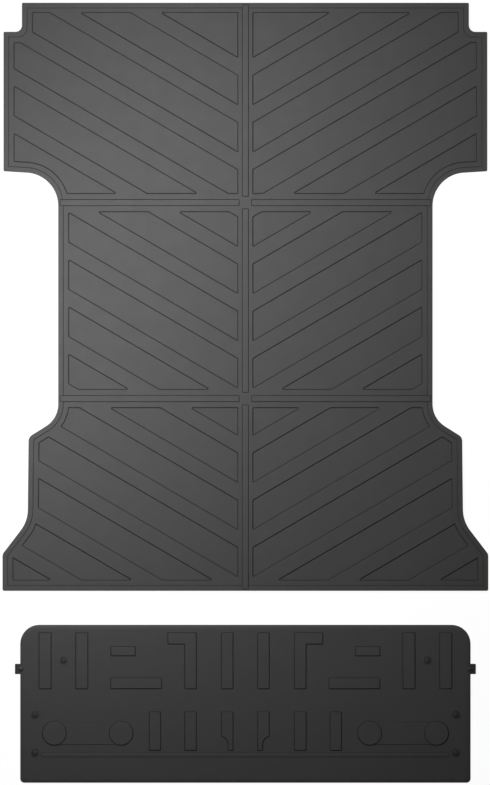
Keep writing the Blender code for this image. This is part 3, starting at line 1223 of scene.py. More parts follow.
@dataclass(frozen=True)
class ChevronPattern:
    """Sunk fields between slanting ribs, the same in both halves of the bed mat."""

    slope: float = math.tan(math.radians(30.3))
    pitch: float = 0.1594
    height: float = 0.1014
    first_end: float = 0.1856
    inner_half: float = 0.0248
    margin: float = 0.0345
    front_margin: float = 0.0312
    cross_gap: float = 0.030
    corner: float = 0.003
    smallest_area: float = 0.034**2 / 2
    floor_inset: float = 0.003

    def fields(
        self,
        side: Outline,
        front: float,
        length: float,
        crossings: tuple[float, ...],
        inward: float,
    ) -> dict[tuple[int, int], Outline]:
        """The right half's fields, drawn in from their mouths.

        Args:
            side: The mat's outline, with plain corners.
            front: Where the mat's front edge is on Y.
            length: The mat's length.
            crossings: How far back the cross bars lie.
            inward: How far the fields are drawn in.

        Returns:
            Each field's outline, by its panel and its number along the panel.
        """
        area = side.inset(self.margin + inward).clip(lambda c: c.x - self.inner_half - inward)
        forward = self.margin - self.front_margin
        nearest = max(c.y for c in area.corners) - MERGE
        area = Outline([Corner(c.x, c.y + forward * (c.y > nearest), c.radius) for c in area.corners])
        gap = self.cross_gap + inward
        starts = [-BEYOND] + [cross + gap for cross in crossings]
        ends = [cross - gap for cross in crossings] + [length + BEYOND]
        slant = inward * math.hypot(1, self.slope)
        reach = max(c.x for c in side.corners) * self.slope
        last = math.ceil((length + reach - self.first_end) / self.pitch)
        found = {}
        for panel, (start, end) in enumerate(zip(starts, ends)):
            cut = area.clip(lambda c: front - start - c.y)
            cut = cut.clip(lambda c: c.y - (front - end))
            for number in range(last + 1):
                rear = self.first_end + number * self.pitch
                low = (-BEYOND if number == 0 else rear - self.height) + slant
                band = cut.clip(lambda c: self.back(c, front) - low)
                band = band and band.clip(lambda c: rear - slant - self.back(c, front))
                if band and band.area() > self.smallest_area / 4:
                    found[panel, number] = band
        return found

    def back(self, corner: Corner, front: float) -> float:
        """How far back the chevron through a corner meets the fields' inner edge."""
        return front - corner.y + self.slope * (abs(corner.x) - self.inner_half)

    def reliefs(
        self,
        side: Outline,
        front: float,
        length: float,
        crossings: tuple[float, ...],
        step: Step,
        level: float,
    ) -> list[Relief]:
        """The fields of both halves as patches of relief.

        Args:
            side: The mat's outline, with plain corners.
            front: Where the mat's front edge is on Y.
            length: The mat's length.
            crossings: How far back the cross bars lie.
            step: The step round each field.
            level: The fields' level.

        Returns:
            The patches.
        """
        ground = (side, front, length, crossings)
        draw = [self.fields(*ground, station.distance) for station in step.stations]
        mouths = self.fields(*ground, 0)
        floors = self.fields(*ground, self.floor_inset)
        kept = [key for key, floor in floors.items() if floor.area() > self.smallest_area]
        made = []
        for key in kept:
            outlines = []
            for station, drawn in zip(step.stations, draw):
                outlines.append(drawn[key].rounded(max(self.corner - station.distance, 0)))
            mouth = mouths[key].rounded(self.corner)
            for flip in (False, True):
                rings = [(o.mirrored() if flip else o).line() for o in outlines]
                region = (mouth.mirrored() if flip else mouth).line()
                made.append(Relief(step, level, region, rings))
        return made


@dataclass(frozen=True)
class BedMat:
    """The large mat on the bed's floor.

    A "half" is a distance from the centreline, and a "back" is one behind the front edge.
    """

    length: float = 1.984
    nose: Point = (0.754, 0.098)
    nose_fillet: float = 0.022
    front_half: float = 0.816
    arch_corner_back: float = 0.568
    arch_top_back: float = 0.5725
    arch_radius: float = 0.1125
    waist_half: float = 0.6315
    rear_arc_back: float = 1.354
    rear_arc_radius: float = 0.088
    shelf: Point = (0.7315, 1.4655)
    shelf_fillet: float = 0.024
    flare: Point = (0.734, 1.7085)
    flare_radius: float = 0.118
    rear_half: float = 0.8195
    rear_corner_back: float = 1.86
    small_corner: float = 0.004
    tail_corner: float = 0.006
    crossings: tuple[float, ...] = (0.674, 1.3355)
    bar_half_width: float = 0.0105
    bar_end_gap: float = 0.021
    bar_edge_gap: float = 0.006
    rim_width: float = 0.0155
    field_level: float = 0.005
    rib_level: float = 0.008
    rim_level: float = 0.0092
    bar_level: float = 0.0098
    edge_radius: float = 0.0018
    under_rim: float = 0.022
    under_level: float = 0.0008
    bar_corner: float = 0.002
    rim_fall: Step = Step.sunk(-0.0004, 0.0026, 0.0006)
    field_fall: Step = Step.sunk(-0.0020, 0.0038, 0.0006)
    bar_rise: Step = Step.raised(-0.0006, 0.0026, 0.0009)
    under_rise: Step = Step.sheer(0.0008)
    chevrons: ChevronPattern = ChevronPattern()
    nubs: GripNubs = GripNubs(spacing=0.034)

    @property
    def front(self) -> float:
        """Where the mat's front edge is on Y."""
        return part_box("bed_mat")[1].y

    def y(self, back: float) -> float:
        """The Y of a place behind the front edge."""
        return self.front - back

    def side_corners(self) -> list[Corner]:
        """The right side's corners, from front to rear.

        Returns:
            The corners.
        """
        arch = (self.waist_half + self.arch_radius, self.y(self.arch_top_back + self.arch_radius))
        rear = (self.waist_half + self.rear_arc_radius, self.y(self.rear_arc_back))
        flare = (self.flare[0] + self.flare_radius, self.y(self.flare[1]))
        shelf = (self.shelf[0], self.y(self.shelf[1]))
        tail = (self.rear_half, self.y(self.rear_corner_back))
        rear_end = 180 + tangent_sweep(rear, self.rear_arc_radius, shelf)
        flare_end = 180 + tangent_sweep(flare, self.flare_radius, tail)
        return [
            Corner(self.nose[0], self.y(0), self.small_corner),
            Corner(self.nose[0], self.y(self.nose[1]), self.nose_fillet),
            Corner(self.front_half, self.y(self.nose[1]), self.small_corner),
            Corner(self.front_half, self.y(self.arch_corner_back), self.small_corner),
            *arc(arch, self.arch_radius, 90, 180, 14),
            *arc(rear, self.rear_arc_radius, 180, rear_end, 10),
            Corner(*shelf, self.shelf_fillet),
            *arc(flare, self.flare_radius, 180, flare_end, 8),
            Corner(*tail, self.shelf_fillet),
            Corner(self.rear_half, self.y(self.length), self.tail_corner),
        ]

    def outline(self) -> Outline:
        """The whole mat's outline.

        Returns:
            The outline, with its corners rounded.
        """
        right = self.side_corners()
        left = [Corner(-c.x, c.y, c.radius) for c in reversed(right)]
        return Outline(right + left)

    def plain_outline(self) -> Outline:
        """The outline with its corners left sharp."""
        return Outline([Corner(c.x, c.y) for c in self.outline().corners])

    def bars(self) -> list[Outline]:
        """The raised bars along the centreline and across it, which stop short of each other.

        Returns:
            The outline of each bar.
        """
        width, gap = self.bar_half_width, self.bar_end_gap
        stops = [self.bar_edge_gap]
        for cross in self.crossings:
            stops += [cross - gap, cross + gap]
        stops.append(self.length - self.bar_edge_gap)
        bars = [
            rectangle(-width, width, self.y(end), self.y(start), self.bar_corner)
            for start, end in zip(stops[::2], stops[1::2])
        ]
        for cross in self.crossings:
            low, high = self.y(cross + width), self.y(cross - width)
            bar = rectangle(gap, self.waist_half - self.bar_edge_gap, low, high, self.bar_corner)
            bars += [bar, bar.mirrored()]
        return bars

    def reliefs(self) -> list[Relief]:
        """The upper face's patches, from the rim to the bars.

        Returns:
            The patches, in the order that they are laid.
        """
        outline, side = self.outline(), self.plain_outline()
        edge = Step.quarter(self.edge_radius)
        found = [
            Relief.of(outline, edge, self.rim_level, EDGE_SHADE),
            Relief.of(outline.inset(self.rim_width), self.rim_fall, self.rib_level),
        ]
        ground = (side, self.front, self.length, self.crossings)
        found += self.chevrons.reliefs(*ground, self.field_fall, self.field_level)
        found += [Relief.of(bar, self.bar_rise, self.bar_level) for bar in self.bars()]
        return found

    def build(self, rubber: bpy.types.Material) -> None:
        """Makes the mat and the nubs under it.

        Args:
            rubber: Their material.
        """
        outline = self.outline()
        recess = outline.inset(self.under_rim)
        sheet = MouldedSheet(
            outline.line(),
            self.rim_level - self.edge_radius,
            self.reliefs(),
            [Relief.of(recess, self.under_rise, self.under_level, NO_SHADE)],
        )
        mat = sheet.build("bed_mat_moulding", rubber)
        placed(mat, "bed_mat", Slot.BED, "bed_mat")
        covered = outline.inset(self.under_rim + self.nubs.radius * 1.6)
        panel = MouldedSheet(covered.line(), 0, [])
        dots = self.nubs.build("bed_mat_nubs", panel, self.under_level + GAP, rubber)
        placed(dots, "bed_mat", Slot.BED)


def tangent_sweep(centre: Point, radius: float, target: Point) -> float:
    """How far an arc runs before its tangent meets a point.

    Args:
        centre: The arc's centre.
        radius: Its radius.
        target: The point, which lies outwards and behind.

    Returns:
        The degrees round the circle from its side nearest the centreline.
    """
    across, down = target[0] - centre[0], centre[1] - target[1]
    distance = math.hypot(across, down)
    return 180 - math.degrees(math.atan2(down, across) + math.acos(radius / distance))


# ---------------------------------------------------------------- tailgate mat


@dataclass(frozen=True)
class TailgateMat:
    """The small mat on the tailgate.

    A "half" is a distance from the centreline, and an "along" is one behind the mat's front edge.
    """

    half: float = 0.760
    length: float = 0.533
    front_corner: float = 0.064
    rear_corner: float = 0.014
    edge_level: float = 0.0035
    edge_radius: float = 0.0008
    edge_slope: float = 0.012
    level: float = 0.006
    pad_level: float = 0.0095
    row_1: Point = (0.0265, 0.2163)
    row_2: Point = (0.2934, 0.4239)
    small_pad: tuple[float, float, float, float] = (0.371, 0.4545, 0.0727, 0.1051)
    wide_pad: tuple[float, float, float] = (0.282, 0.4545, 0.1791)
    row_1_bars: tuple[Point, ...] = ((0.655, 0.697), (0.531, 0.573), (0.041, 0.0813))
    row_2_bars: tuple[Point, ...] = ((0.2855, 0.325), (0.165, 0.2057))
    hook: tuple[Point, float, float] = ((0.165, 0.2057), 0.262, 0.0656)
    leg: tuple[Point, float, float, float] = ((0.041, 0.0813), 0.059, 0.378, 0.404)
    pad_corner: float = 0.002
    disc_halves: Point = (0.4193, 0.645)
    disc_along: float = 0.366
    disc_radius: float = 0.041
    disc_level: float = 0.0099
    link: Point = (0.3296, 0.4046)
    link_level: float = 0.0078
    bead: Point = (0.431, 0.4475)
    bead_half: float = 0.690
    bead_level: float = 0.0067
    seat_depth: float = 0.0015
    tab_along: float = 0.149
    tab_width: float = 0.035
    tab_grip: float = 0.028
    tab_thickness: float = 0.002
    ear_radius: float = 0.0115
    ear_inset: float = 0.0025
    ear_level: float = 0.004
    under_rim: float = 0.016
    under_level: float = 0.0008
    bead_corner: float = 0.004
    slope_section: tuple[Point, ...] = ((0, 0), (0.3, 0.36), (0.7, 0.8), (1, 1))
    pad_rise: Step = Step.raised(-0.0004, 0.0034, 0.0007)
    link_rise: Step = Step.raised(0, 0.002, 0.0003)
    bead_rise: Step = Step.raised(0, 0.005, 0.0001)
    under_rise: Step = Step.sheer(0.0008)
    nubs: GripNubs = GripNubs(spacing=0.022, radius=0.0036)

    def y(self, along: float) -> float:
        """The Y of a place behind the mat's front edge."""
        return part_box("tailgate_mat")[1].y - along

    def plain_outline(self) -> Outline:
        """The outline without its ears.

        Returns:
            The outline, with its four corners rounded.
        """
        rear = self.y(self.length)
        corners = (
            (self.half, rear, self.rear_corner),
            (self.half, self.y(0), self.front_corner),
            (-self.half, self.y(0), self.front_corner),
            (-self.half, rear, self.rear_corner),
        )
        return Outline([Corner(*corner) for corner in corners])

    def pocket_ys(self) -> Point:
        """The low and high edges of the tabs' pockets."""
        reach = self.tab_width / 2 + GAP
        return (self.y(self.tab_along) - reach, self.y(self.tab_along) + reach)

    def outline(self) -> Outline:
        """The outline with a round ear at each end, and a point at each edge of the tabs' pockets.

        Returns:
            The outline.
        """
        centre = (self.half - self.ear_inset, self.y(self.tab_along))
        opening = math.degrees(math.acos(self.ear_inset / self.ear_radius))
        low, high = self.pocket_ys()
        rear, front = self.plain_outline().corners[:2]
        right = [
            rear,
            Corner(self.half, low),
            Corner(self.half, low + GAP),
            *arc(centre, self.ear_radius, -opening, opening, 14),
            Corner(self.half, high - GAP),
            Corner(self.half, high),
            front,
        ]
        left = [Corner(-c.x, c.y, c.radius) for c in reversed(right)]
        return Outline(right + left)

    def pads(self) -> list[Outline]:
        """The raised bars and L shapes of the right half.

        Returns:
            The outline of each pad.
        """
        start, end = self.y(self.row_1[0]), self.y(self.row_1[1])
        pads = [rectangle(*halves, end, start, self.pad_corner) for halves in self.row_1_bars]
        low, high = self.y(self.row_2[1]), self.y(self.row_2[0])
        pads += [rectangle(*halves, low, high, self.pad_corner) for halves in self.row_2_bars]
        inner, outer, near, far = self.small_pad
        pads.append(rectangle(inner, outer, self.y(far), self.y(near), self.pad_corner))
        inner, outer, near = self.wide_pad
        pads.append(rectangle(inner, outer, end, self.y(near), self.pad_corner))
        (inner, outer), hook_end, hook_along = self.hook
        hook = self.y(hook_along)
        spots = ((inner, end), (outer, end), (outer, hook), (hook_end, hook), (hook_end, start))
        bent = Outline([Corner(x, y) for x, y in (*spots, (inner, start))])
        pads.append(bent.rounded(self.pad_corner))
        return [*pads, self.leg_pad()]

    def leg_pad(self) -> Outline:
        """The bar whose outer side curves in to a narrow leg.

        Returns:
            Its outline.
        """
        (inner, outer), leg, step_start, step_end = self.leg
        low, high = self.y(self.row_2[1]), self.y(self.row_2[0])
        centre = (outer, self.y(step_end))
        curve = [
            Corner(
                centre[0] + (c.x - centre[0]) * (outer - leg),
                centre[1] + (c.y - centre[1]) * (step_end - step_start),
            )
            for c in arc(centre, 1, 180, 100, 6)
        ]
        ends = [Corner(inner, low), Corner(leg, low)]
        top = [Corner(outer, self.y(step_start)), Corner(outer, high), Corner(inner, high)]
        return Outline(ends + curve + top)

    def reliefs(
        self, cups: list[Point], rivets: list[Point], seat: float, washer: float
    ) -> list[Relief]:
        """The upper face's patches, from the edge to the seats of the small pieces.

        Args:
            cups: The middles of the screw cups.
            rivets: The middles of the rivets.
            seat: The radius of a cup's seat.
            washer: The radius of a washer's seat.

        Returns:
            The patches, in the order that they are laid.
        """
        plain = self.plain_outline().inset(self.edge_radius)
        width = self.edge_slope
        slope = Step(tuple(Station(width * share, blend) for share, blend in self.slope_section))
        found = [
            Relief.of(self.outline(), Step.quarter(self.edge_radius), self.edge_level, EDGE_SHADE),
            Relief.of(plain, slope, self.level, NO_SHADE),
        ]
        both = [outline for pad in self.pads() for outline in (pad, pad.mirrored())]
        found += [Relief.of(outline, self.pad_rise, self.pad_level) for outline in both]
        link = rectangle(*self.disc_halves, self.y(self.link[1]), self.y(self.link[0]))
        for outline in (link, link.mirrored()):
            found.append(Relief.of(outline, self.link_rise, self.link_level, SEAT_SHADE))
        for half in self.disc_halves:
            for side in Side:
                disc = circle((side.value * half, self.y(self.disc_along)), self.disc_radius)
                found.append(Relief.of(disc, self.pad_rise, self.disc_level))
        start, end = (self.y(along) for along in self.bead)
        bead = rectangle(-self.bead_half, self.bead_half, end, start, self.bead_corner)
        found.append(Relief.of(bead, self.bead_rise, self.bead_level, BEAD_SHADE))
        cup_seat, washer_seat = self.level - self.seat_depth, self.ear_level - GAP
        seats = [(circle(middle, seat), cup_seat) for middle in cups]
        seats += [(circle(middle, washer), washer_seat) for middle in rivets]
        found += [Relief.of(outline, Step.sheer(), level, SEAT_SHADE) for outline, level in seats]
        return found

    def underside(self) -> list[Relief]:
        """The lower face's patches: the nubs' recess and the tabs' pockets.

        Returns:
            The patches, in the order that they are laid.
        """
        recess = self.plain_outline().inset(self.under_rim)
        found = [Relief.of(recess, self.under_rise, self.under_level, NO_SHADE)]
        low, high = self.pocket_ys()
        depth = self.tab_thickness + GAP
        step = Step.sheer(GAP)
        for sign in (1, -1):
            inner = sign * (self.half - self.tab_grip - GAP)
            edge, beyond = sign * self.half, sign * (self.half + self.tab_grip)
            rings = []
            for station in step.stations:
                top, foot = high - station.distance, low + station.distance
                near = inner + sign * station.distance
                rings.append(np.array(((edge, top), (near, top), (near, foot), (edge, foot))))
            region = rectangle(min(inner, beyond), max(inner, beyond), low, high).line()
            found.append(Relief(step, depth, region, rings, closed=False, shade=NO_SHADE))
        return found

    def build(self, rubber: bpy.types.Material, cup: "ScrewCup", tab: "SideTab") -> None:
        """Makes the mat and the nubs under it.

        Args:
            rubber: Their material.
            cup: The screw cups' sizes.
            tab: The side tabs' and rivets' sizes.
        """
        cups = [middle_of(f"screw_cup_{s.label}_{n}") for s in Side for n in cup.numbers]
        rivets = [middle_of(f"tab_rivet_{s.label}") for s in Side]
        holes = [circle(c, cup.sleeve_radius + GAP, 36).line() for c in cups]
        holes += [circle(c, tab.shank_radius + GAP, 36).line() for c in rivets]
        sheet = MouldedSheet(
            self.outline().line(),
            self.edge_level - self.edge_radius,
            self.reliefs(cups, rivets, cup.flange_radius + GAP, tab.washer_radius + GAP),
            self.underside(),
            holes,
        )
        mat = sheet.build("tailgate_mat_moulding", rubber)
        placed(mat, "tailgate_mat", Slot.TAILGATE, "tailgate_mat")
        panel = self.nub_panel(cups, cup.flange_radius)
        dots = self.nubs.build("tailgate_mat_nubs", panel, self.under_level + GAP, rubber)
        placed(dots, "tailgate_mat", Slot.TAILGATE)

    def nub_panel(self, cups: list[Point], flange: float) -> MouldedSheet:
        """The area that nubs cover, clear of the cups and the tabs' pockets.

        Args:
            cups: The middles of the screw cups.
            flange: The radius of a cup's flange.

        Returns:
            The area, as a sheet.
        """
        radius = self.nubs.radius
        edge = self.plain_outline().inset(self.under_rim + radius * 1.6).line()
        clear = [circle(c, flange + radius, 24).line() for c in cups]
        low, high = self.pocket_ys()
        margin = radius * 1.4
        for sign in (1, -1):
            reaches = (-self.tab_grip - margin, -self.under_rim - margin)
            ends = sorted(sign * (self.half + reach) for reach in reaches)
            clear.append(rectangle(*ends, low - margin, high + margin).line())
        return MouldedSheet(edge, 0, [], holes=clear)


# ---------------------------------------------------------------- small pieces


@dataclass(frozen=True)
class CapGrips:
    """Small upright ribs round a snap cap's rim."""

    count: int = 28
    width: float = 0.0009
    depth: float = 0.0008
    foot_share: float = 0.5
    top_share: float = 0.32

    @cache
    def bench(self, nylon: bpy.types.Material) -> NodeBench:
        """Makes the tree, once for all the caps: a rib on every point of a circle, turned outwards.

        Args:
            nylon: The ribs' material.

        Returns:
            The tree.
        """
        bench = NodeBench("cap_grips")
        (count,) = bench.inputs("Int", "Count")
        ring, width, depth, height = bench.inputs("Float", "Radius", "Width", "Depth", "Height")
        (place,) = bench.inputs("Vector", "Centre")
        rim = bench.node("MeshCircle", Vertices=count, Radius=ring)
        dots = bench.node("MeshToPoints", Mesh=rim.outputs["Mesh"])
        index = bench.node("InputIndex").outputs[0]
        turn = bench.math("MULTIPLY", index, bench.math("DIVIDE", math.tau, count))
        rib = bench.node(
            "MeshCone",
            Vertices=6,
            Radius_Top=self.top_share,
            Radius_Bottom=self.foot_share,
            Depth=1.0,
        )
        size = bench.vector(depth, width, height)
        shaped = bench.node("Transform", Geometry=rib.outputs["Mesh"], Scale=size)
        ribs = bench.node(
            "InstanceOnPoints",
            Points=dots.outputs[0],
            Instance=shaped.outputs[0],
            Rotation=bench.vector(0.0, 0.0, turn),
        )
        moved = bench.node("Transform", Geometry=ribs.outputs[0], Translation=place)
        bench.finish(moved.outputs[0], nylon)
        return bench

    def build(
        self,
        name: str,
        centre: Point,
        radius: float,
        low: float,
        high: float,
        nylon: bpy.types.Material,
    ) -> bpy.types.Object:
        """Makes one ring of ribs.

        Args:
            name: The object's name.
            centre: The ring's middle in plan.
            radius: The ring's outer radius.
            low: The height of the ribs' feet.
            high: The height of the cap's rim.
            nylon: Their material.

        Returns:
            The object.
        """
        return self.bench(nylon).run(
            name,
            bpy.data.meshes.new(name),
            Count=self.count,
            Radius=radius - self.depth / 2,
            Width=self.width,
            Depth=self.depth,
            Height=high - low - self.depth / 2,
            Centre=(*centre, low),
        )


@dataclass(frozen=True)
class ScrewCup:
    """The flanged sleeve that takes a panel screw through the tailgate mat, and its snap cap."""

    numbers: tuple[int, ...] = (1, 2, 3)
    flange_radius: float = 0.012
    sleeve_radius: float = 0.006
    bore_radius: float = 0.0035
    sink_radius: float = 0.0065
    land_radius: float = 0.0073
    edge: float = 0.0004
    cap_rim: float = 0.0026
    cap_wall: float = 0.0012
    dome_radius: float = 0.0078
    moat_width: float = 0.0016
    moat_depth: float = 0.0010
    grips: CapGrips = CapGrips()

    def build(self, label: str, nylon: bpy.types.Material) -> None:
        """Makes one cup and its cap.

        Args:
            label: What ends their names, such as left_1.
            nylon: Their material.
        """
        cup_node, cap_node = "screw_cup_" + label, "snap_cap_" + label
        low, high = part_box(cup_node)
        centre = middle_of(cup_node)
        seat = TailgateMat.level - TailgateMat.seat_depth + GAP
        sink = self.sink_radius - self.bore_radius
        e, flange, sleeve = self.edge, self.flange_radius, self.sleeve_radius
        profile = [
            (self.bore_radius, low.z + e / 2),
            (self.bore_radius + e / 2, low.z),
            (sleeve - e, low.z),
            (sleeve, low.z + e),
            (sleeve, seat),
            (flange - e, seat),
            (flange, seat + e),
            *bend((flange - e, high.z - e), e, 0, 90, 3),
            (self.land_radius + e, high.z),
            (self.land_radius, high.z - e / 2),
            (self.sink_radius, high.z - e / 2),
            (self.bore_radius, high.z - e / 2 - sink),
        ]
        cup = turned(cup_node + "_sleeve", centre, profile, nylon, 40, 35)
        placed(cup, "tailgate_mat", Slot.NYLON, cup_node)
        self.build_cap(cap_node, centre, high.z, nylon)

    def build_cap(
        self, node: str, centre: Point, cup_top: float, nylon: bpy.types.Material
    ) -> None:
        """Makes a cap: a low rim with grips round it, a moat, and a dome over the cup.

        Args:
            node: The cap's CAD node and body.
            centre: Its middle in plan.
            cup_top: The height of the cup under it.
            nylon: Its material.
        """
        low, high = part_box(node)
        outer = (high.x - low.x) / 2
        rim_top = low.z + self.cap_rim
        moat_floor = rim_top - self.moat_depth
        moat = self.dome_radius + self.moat_width
        inner = self.flange_radius + GAP
        rise = high.z - rim_top
        dome_foot = rim_top + rise * 0.1
        shoulder = rise * 0.7
        profile = [
            (inner, low.z),
            (outer - 0.0006, low.z),
            (outer - 0.0003, low.z + 0.0003),
            *bend((outer - 0.0010, rim_top - 0.0007), 0.0007, 0, 90, 3),
            (moat + 0.0005, rim_top),
            (moat, moat_floor),
            (self.dome_radius + 0.0003, moat_floor),
            (self.dome_radius, rim_top),
            (self.dome_radius, dome_foot),
            *bend((self.dome_radius - shoulder, dome_foot), shoulder, 15, 75, 4),
            (self.dome_radius * 0.45, high.z - rise * 0.07),
            (0, high.z),
            (0, high.z - self.cap_wall),
            (self.dome_radius * 0.6, high.z - self.cap_wall * 1.5),
            (self.dome_radius * 0.94, cup_top + GAP),
            (inner, cup_top + GAP),
        ]
        cap = turned(node + "_dome", centre, profile, nylon, 48, 40)
        placed(cap, node, Slot.NYLON, node)
        grips = self.grips.build(node + "_grips", centre, outer, low.z, rim_top, nylon)
        placed(grips, node, Slot.NYLON)


@dataclass(frozen=True)
class SideTab:
    """A tongue under the tailgate mat's end, with the rivet and washer that hold it."""

    lip_level: float = 0.006
    lip_width: float = 0.004
    corner: float = 0.003
    shank_radius: float = 0.003
    foot_radius: float = 0.005
    head_radius: float = 0.0065
    washer_radius: float = 0.0095
    edge: float = 0.0004
    rib_reaches: Point = (0.0098, 0.0145)
    rib_half: float = 0.0008
    rib_pitch: float = 0.010
    rib_height: float = 0.0012

    def build(self, side: Side, nylon: bpy.types.Material, steel: bpy.types.Material) -> None:
        """Makes one tab with its rivet and washer.

        Args:
            side: The side that it is on.
            nylon: The tab's material.
            steel: The rivet's and the washer's material.
        """
        middle = middle_of("tab_rivet_" + side.label)
        self.build_tongue(side, middle, nylon)
        self.build_washer("rivet_washer_" + side.label, middle, steel)
        self.build_rivet("tab_rivet_" + side.label, middle, steel)

    def build_tongue(self, side: Side, middle: Point, nylon: bpy.types.Material) -> None:
        """Makes the tongue, with a lip and three ribs at its outer end and a sink for the rivet's foot.

        Args:
            side: The side that it is on.
            middle: The rivet's middle in plan.
            nylon: Its material.
        """
        node = "side_tab_" + side.label
        low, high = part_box(node)
        thickness = TailgateMat.tab_thickness
        tongue = rectangle(low.x, high.x, low.y, high.y, self.corner)
        outer = high.x - GAP if side is Side.RIGHT else low.x + GAP
        ends = sorted((outer, outer - side.value * self.lip_width))
        lip = rectangle(*ends, low.y + self.corner, high.y - self.corner, 0.001)
        rib_ends = sorted(middle[0] + side.value * reach for reach in self.rib_reaches)
        reliefs = [
            Relief.of(tongue, Step.quarter(self.edge), thickness, NO_SHADE),
            Relief.of(lip, Step.raised(0.0002, 0.0008, 0), self.lip_level, NO_SHADE),
        ]
        for step in (-1, 0, 1):
            y = middle[1] + step * self.rib_pitch
            rib = rectangle(*rib_ends, y - self.rib_half, y + self.rib_half, 0.0003)
            rib_level = thickness + self.rib_height
            reliefs.append(Relief.of(rib, Step.raised(0, 0.0004, 0), rib_level, NO_SHADE))
        flare = self.foot_radius - self.shank_radius
        sink = Relief.of(
            circle(middle, self.foot_radius + GAP, 36),
            Step((Station(0, 0), Station(flare - 0.0001, 1))),
            flare - GAP,
            NO_SHADE,
        )
        hole = circle(middle, self.shank_radius + GAP, 36).line()
        sheet = MouldedSheet(tongue.line(), thickness - self.edge, reliefs, [sink], [hole])
        placed(sheet.build(node + "_tongue", nylon), "tailgate_mat", Slot.NYLON, node)

    def build_washer(self, node: str, middle: Point, steel: bpy.types.Material) -> None:
        """Makes the washer, with rounded edges.

        Args:
            node: Its CAD node.
            middle: Its middle in plan.
            steel: Its material.
        """
        low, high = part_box(node)
        bore, radius, edge = self.shank_radius + GAP, self.washer_radius, 0.00035
        profile = [
            (bore, low.z + edge),
            (bore + edge, low.z),
            (radius - edge, low.z),
            (radius, low.z + edge),
            *bend((radius - edge, high.z - edge), edge, 0, 90, 3),
            (bore + edge, high.z),
            (bore, high.z - edge),
        ]
        washer = turned(node + "_ring", middle, profile, steel, 48, 40)
        placed(washer, "tailgate_mat", Slot.STEEL, node)

    def build_rivet(self, node: str, middle: Point, steel: bpy.types.Material) -> None:
        """Makes the rivet: a clenched foot, a shank and a domed head with a dimple.

        Args:
            node: Its CAD node.
            middle: Its middle in plan.
            steel: Its material.
        """
        low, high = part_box(node)
        head_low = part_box(node.replace("tab_rivet", "rivet_washer"))[1].z + GAP
        rise = high.z - head_low
        dome = [
            (self.head_radius * math.cos(a), head_low + 0.0006 + (rise - 0.0006) * math.sin(a))
            for a in (math.radians(d) for d in range(0, 73, 12))
        ]
        profile = [
            (0, low.z + 0.0008),
            (0.0014, low.z + 0.0006),
            (0.0022, low.z),
            (self.foot_radius - 0.0003, low.z),
            (self.foot_radius, low.z + 0.0003),
            (self.shank_radius, low.z + 0.0003 + self.foot_radius - self.shank_radius),
            (self.shank_radius, head_low),
            (self.head_radius - 0.0003, head_low),
            (self.head_radius, head_low + 0.0003),
            *dome,
            (self.head_radius * 0.22, high.z - 0.0002),
            (0, high.z - 0.0005),
        ]
        rivet = turned(node + "_clenched", middle, profile, steel, 40, 40)
        placed(rivet, "tailgate_mat", Slot.STEEL, node)


# ---------------------------------------------------------------- studio


@dataclass(frozen=True)
class Softbox:
    """An oblong light that hangs over the mats."""

    name: str
    place: tuple[float, float, float]
    size: Point
    power: float
    spin: float = 0.0
    aim: tuple[float, float, float] | None = None

    def build(self) -> bpy.types.Object:
        """Makes the light, face down or turned to its aim.

        Returns:
            The light.
        """
        lamp = bpy.data.lights.new(self.name, "AREA")
        lamp.shape = "RECTANGLE"
        lamp.size, lamp.size_y = self.size
        lamp.energy = self.power
        light = stand(self.name, lamp)
        light.location = self.place
        light.rotation_euler = (0, 0, math.radians(self.spin))
        if self.aim is not None:
            gaze = Vector(self.aim) - Vector(self.place)
            light.rotation_euler = gaze.to_track_quat("-Z", "Y").to_euler()
        return light


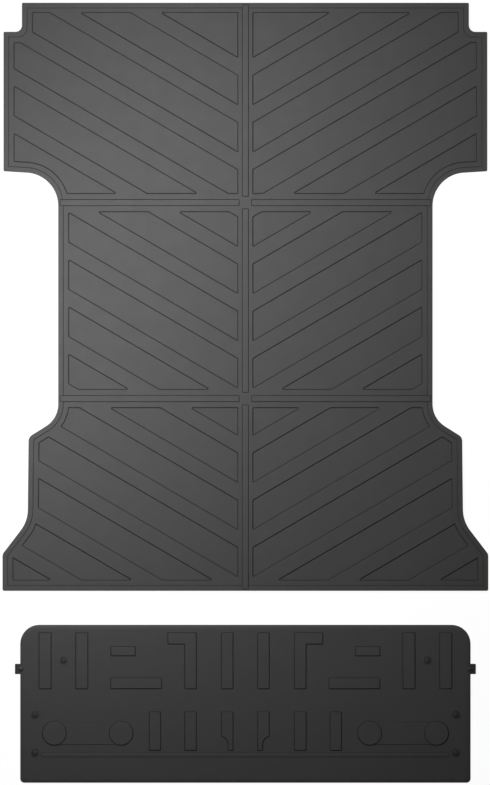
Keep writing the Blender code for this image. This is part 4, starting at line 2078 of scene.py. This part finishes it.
@dataclass(frozen=True)
class Studio:
    """The floor, the lights and the camera, which looks straight down from high up."""

    camera_height: float = 14.0
    view_length: float = 2.650
    sensor: float = 0.036
    aim: Point = (-0.0014, 0.0012)
    floor_size: float = 60.0
    floor_drop: float = 0.0004
    horizon: float = 0.85
    zenith: float = 0.01
    band: float = 0.16
    lights: tuple[Softbox, ...] = (
        Softbox("key_strip", (-0.60, 0.50, 1.3), (2.0, 0.7), 26.0, 55.0),
        Softbox("bed_fill", (-0.3, -0.3, 2.4), (2.6, 1.2), 9.5, aim=(0.0, 0.0, 0.0)),
        Softbox("corner_fill", (0.6, 1.0, 2.2), (1.4, 1.4), 10.0, aim=(0.0, 0.0, 0.0)),
    )

    def build(self) -> None:
        """Makes the whole studio."""
        self.build_floor()
        for softbox in self.lights:
            softbox.build()
        self.build_world()
        self.build_camera()

    def build_floor(self) -> None:
        """Makes the floor just under the mats."""
        bm = bmesh.new()
        bmesh.ops.create_grid(bm, x_segments=4, y_segments=4, size=self.floor_size / 2)
        mesh = bpy.data.meshes.new("studio_floor")
        bm.to_mesh(mesh)
        bm.free()
        mesh.transform(Matrix.Translation((0, 0, -self.floor_drop)))
        mesh.materials.append(PaleFloor().material())
        stand("studio_floor", mesh)

    def build_world(self) -> None:
        """Makes the air: pale at the horizon and dim overhead."""
        world = bpy.data.worlds.new("studio_air")
        world.use_nodes = True
        air = Nodes(world.node_tree)
        split = air.node("SeparateXYZ", Vector=air.node("TexCoord").outputs["Generated"])
        span = {"From_Min": 0, "From_Max": self.band, "To_Min": self.horizon, "To_Max": self.zenith}
        fade = air.node("MapRange", Value=split.outputs["Z"], **span)
        fade.interpolation_type = "SMOOTHSTEP"
        background = world.node_tree.nodes["Background"]
        air.feed(background.inputs["Color"], (1, 1, 1, 1))
        air.feed(background.inputs["Strength"], fade.outputs["Result"])
        bpy.context.scene.world = world
        bpy.context.scene.view_settings.view_transform = "Standard"

    def build_camera(self) -> None:
        """Makes the camera."""
        lens = bpy.data.cameras.new("overhead_camera")
        lens.type = "PERSP"
        lens.sensor_width = self.sensor * 1000
        lens.sensor_fit = "AUTO"
        lens.lens = self.sensor * 1000 * self.camera_height / self.view_length
        lens.clip_end = 100
        camera = stand("overhead_camera", lens)
        camera.location = (*self.aim, self.camera_height)
        bpy.context.scene.camera = camera


def main() -> None:
    """Builds every piece, then the studio."""
    logging.basicConfig(level=logging.INFO, format="%(message)s")
    rubber = MouldedRubber().material()
    nylon = MouldedNylon().material()
    steel = CoatedSteel().material()
    cup, tab = ScrewCup(), SideTab()
    BedMat().build(rubber)
    TailgateMat().build(rubber, cup, tab)
    for side in Side:
        for number in cup.numbers:
            cup.build(f"{side.label}_{number}", nylon)
        tab.build(side, nylon, steel)
    Studio().build()


if __name__ == "__main__":
    main()
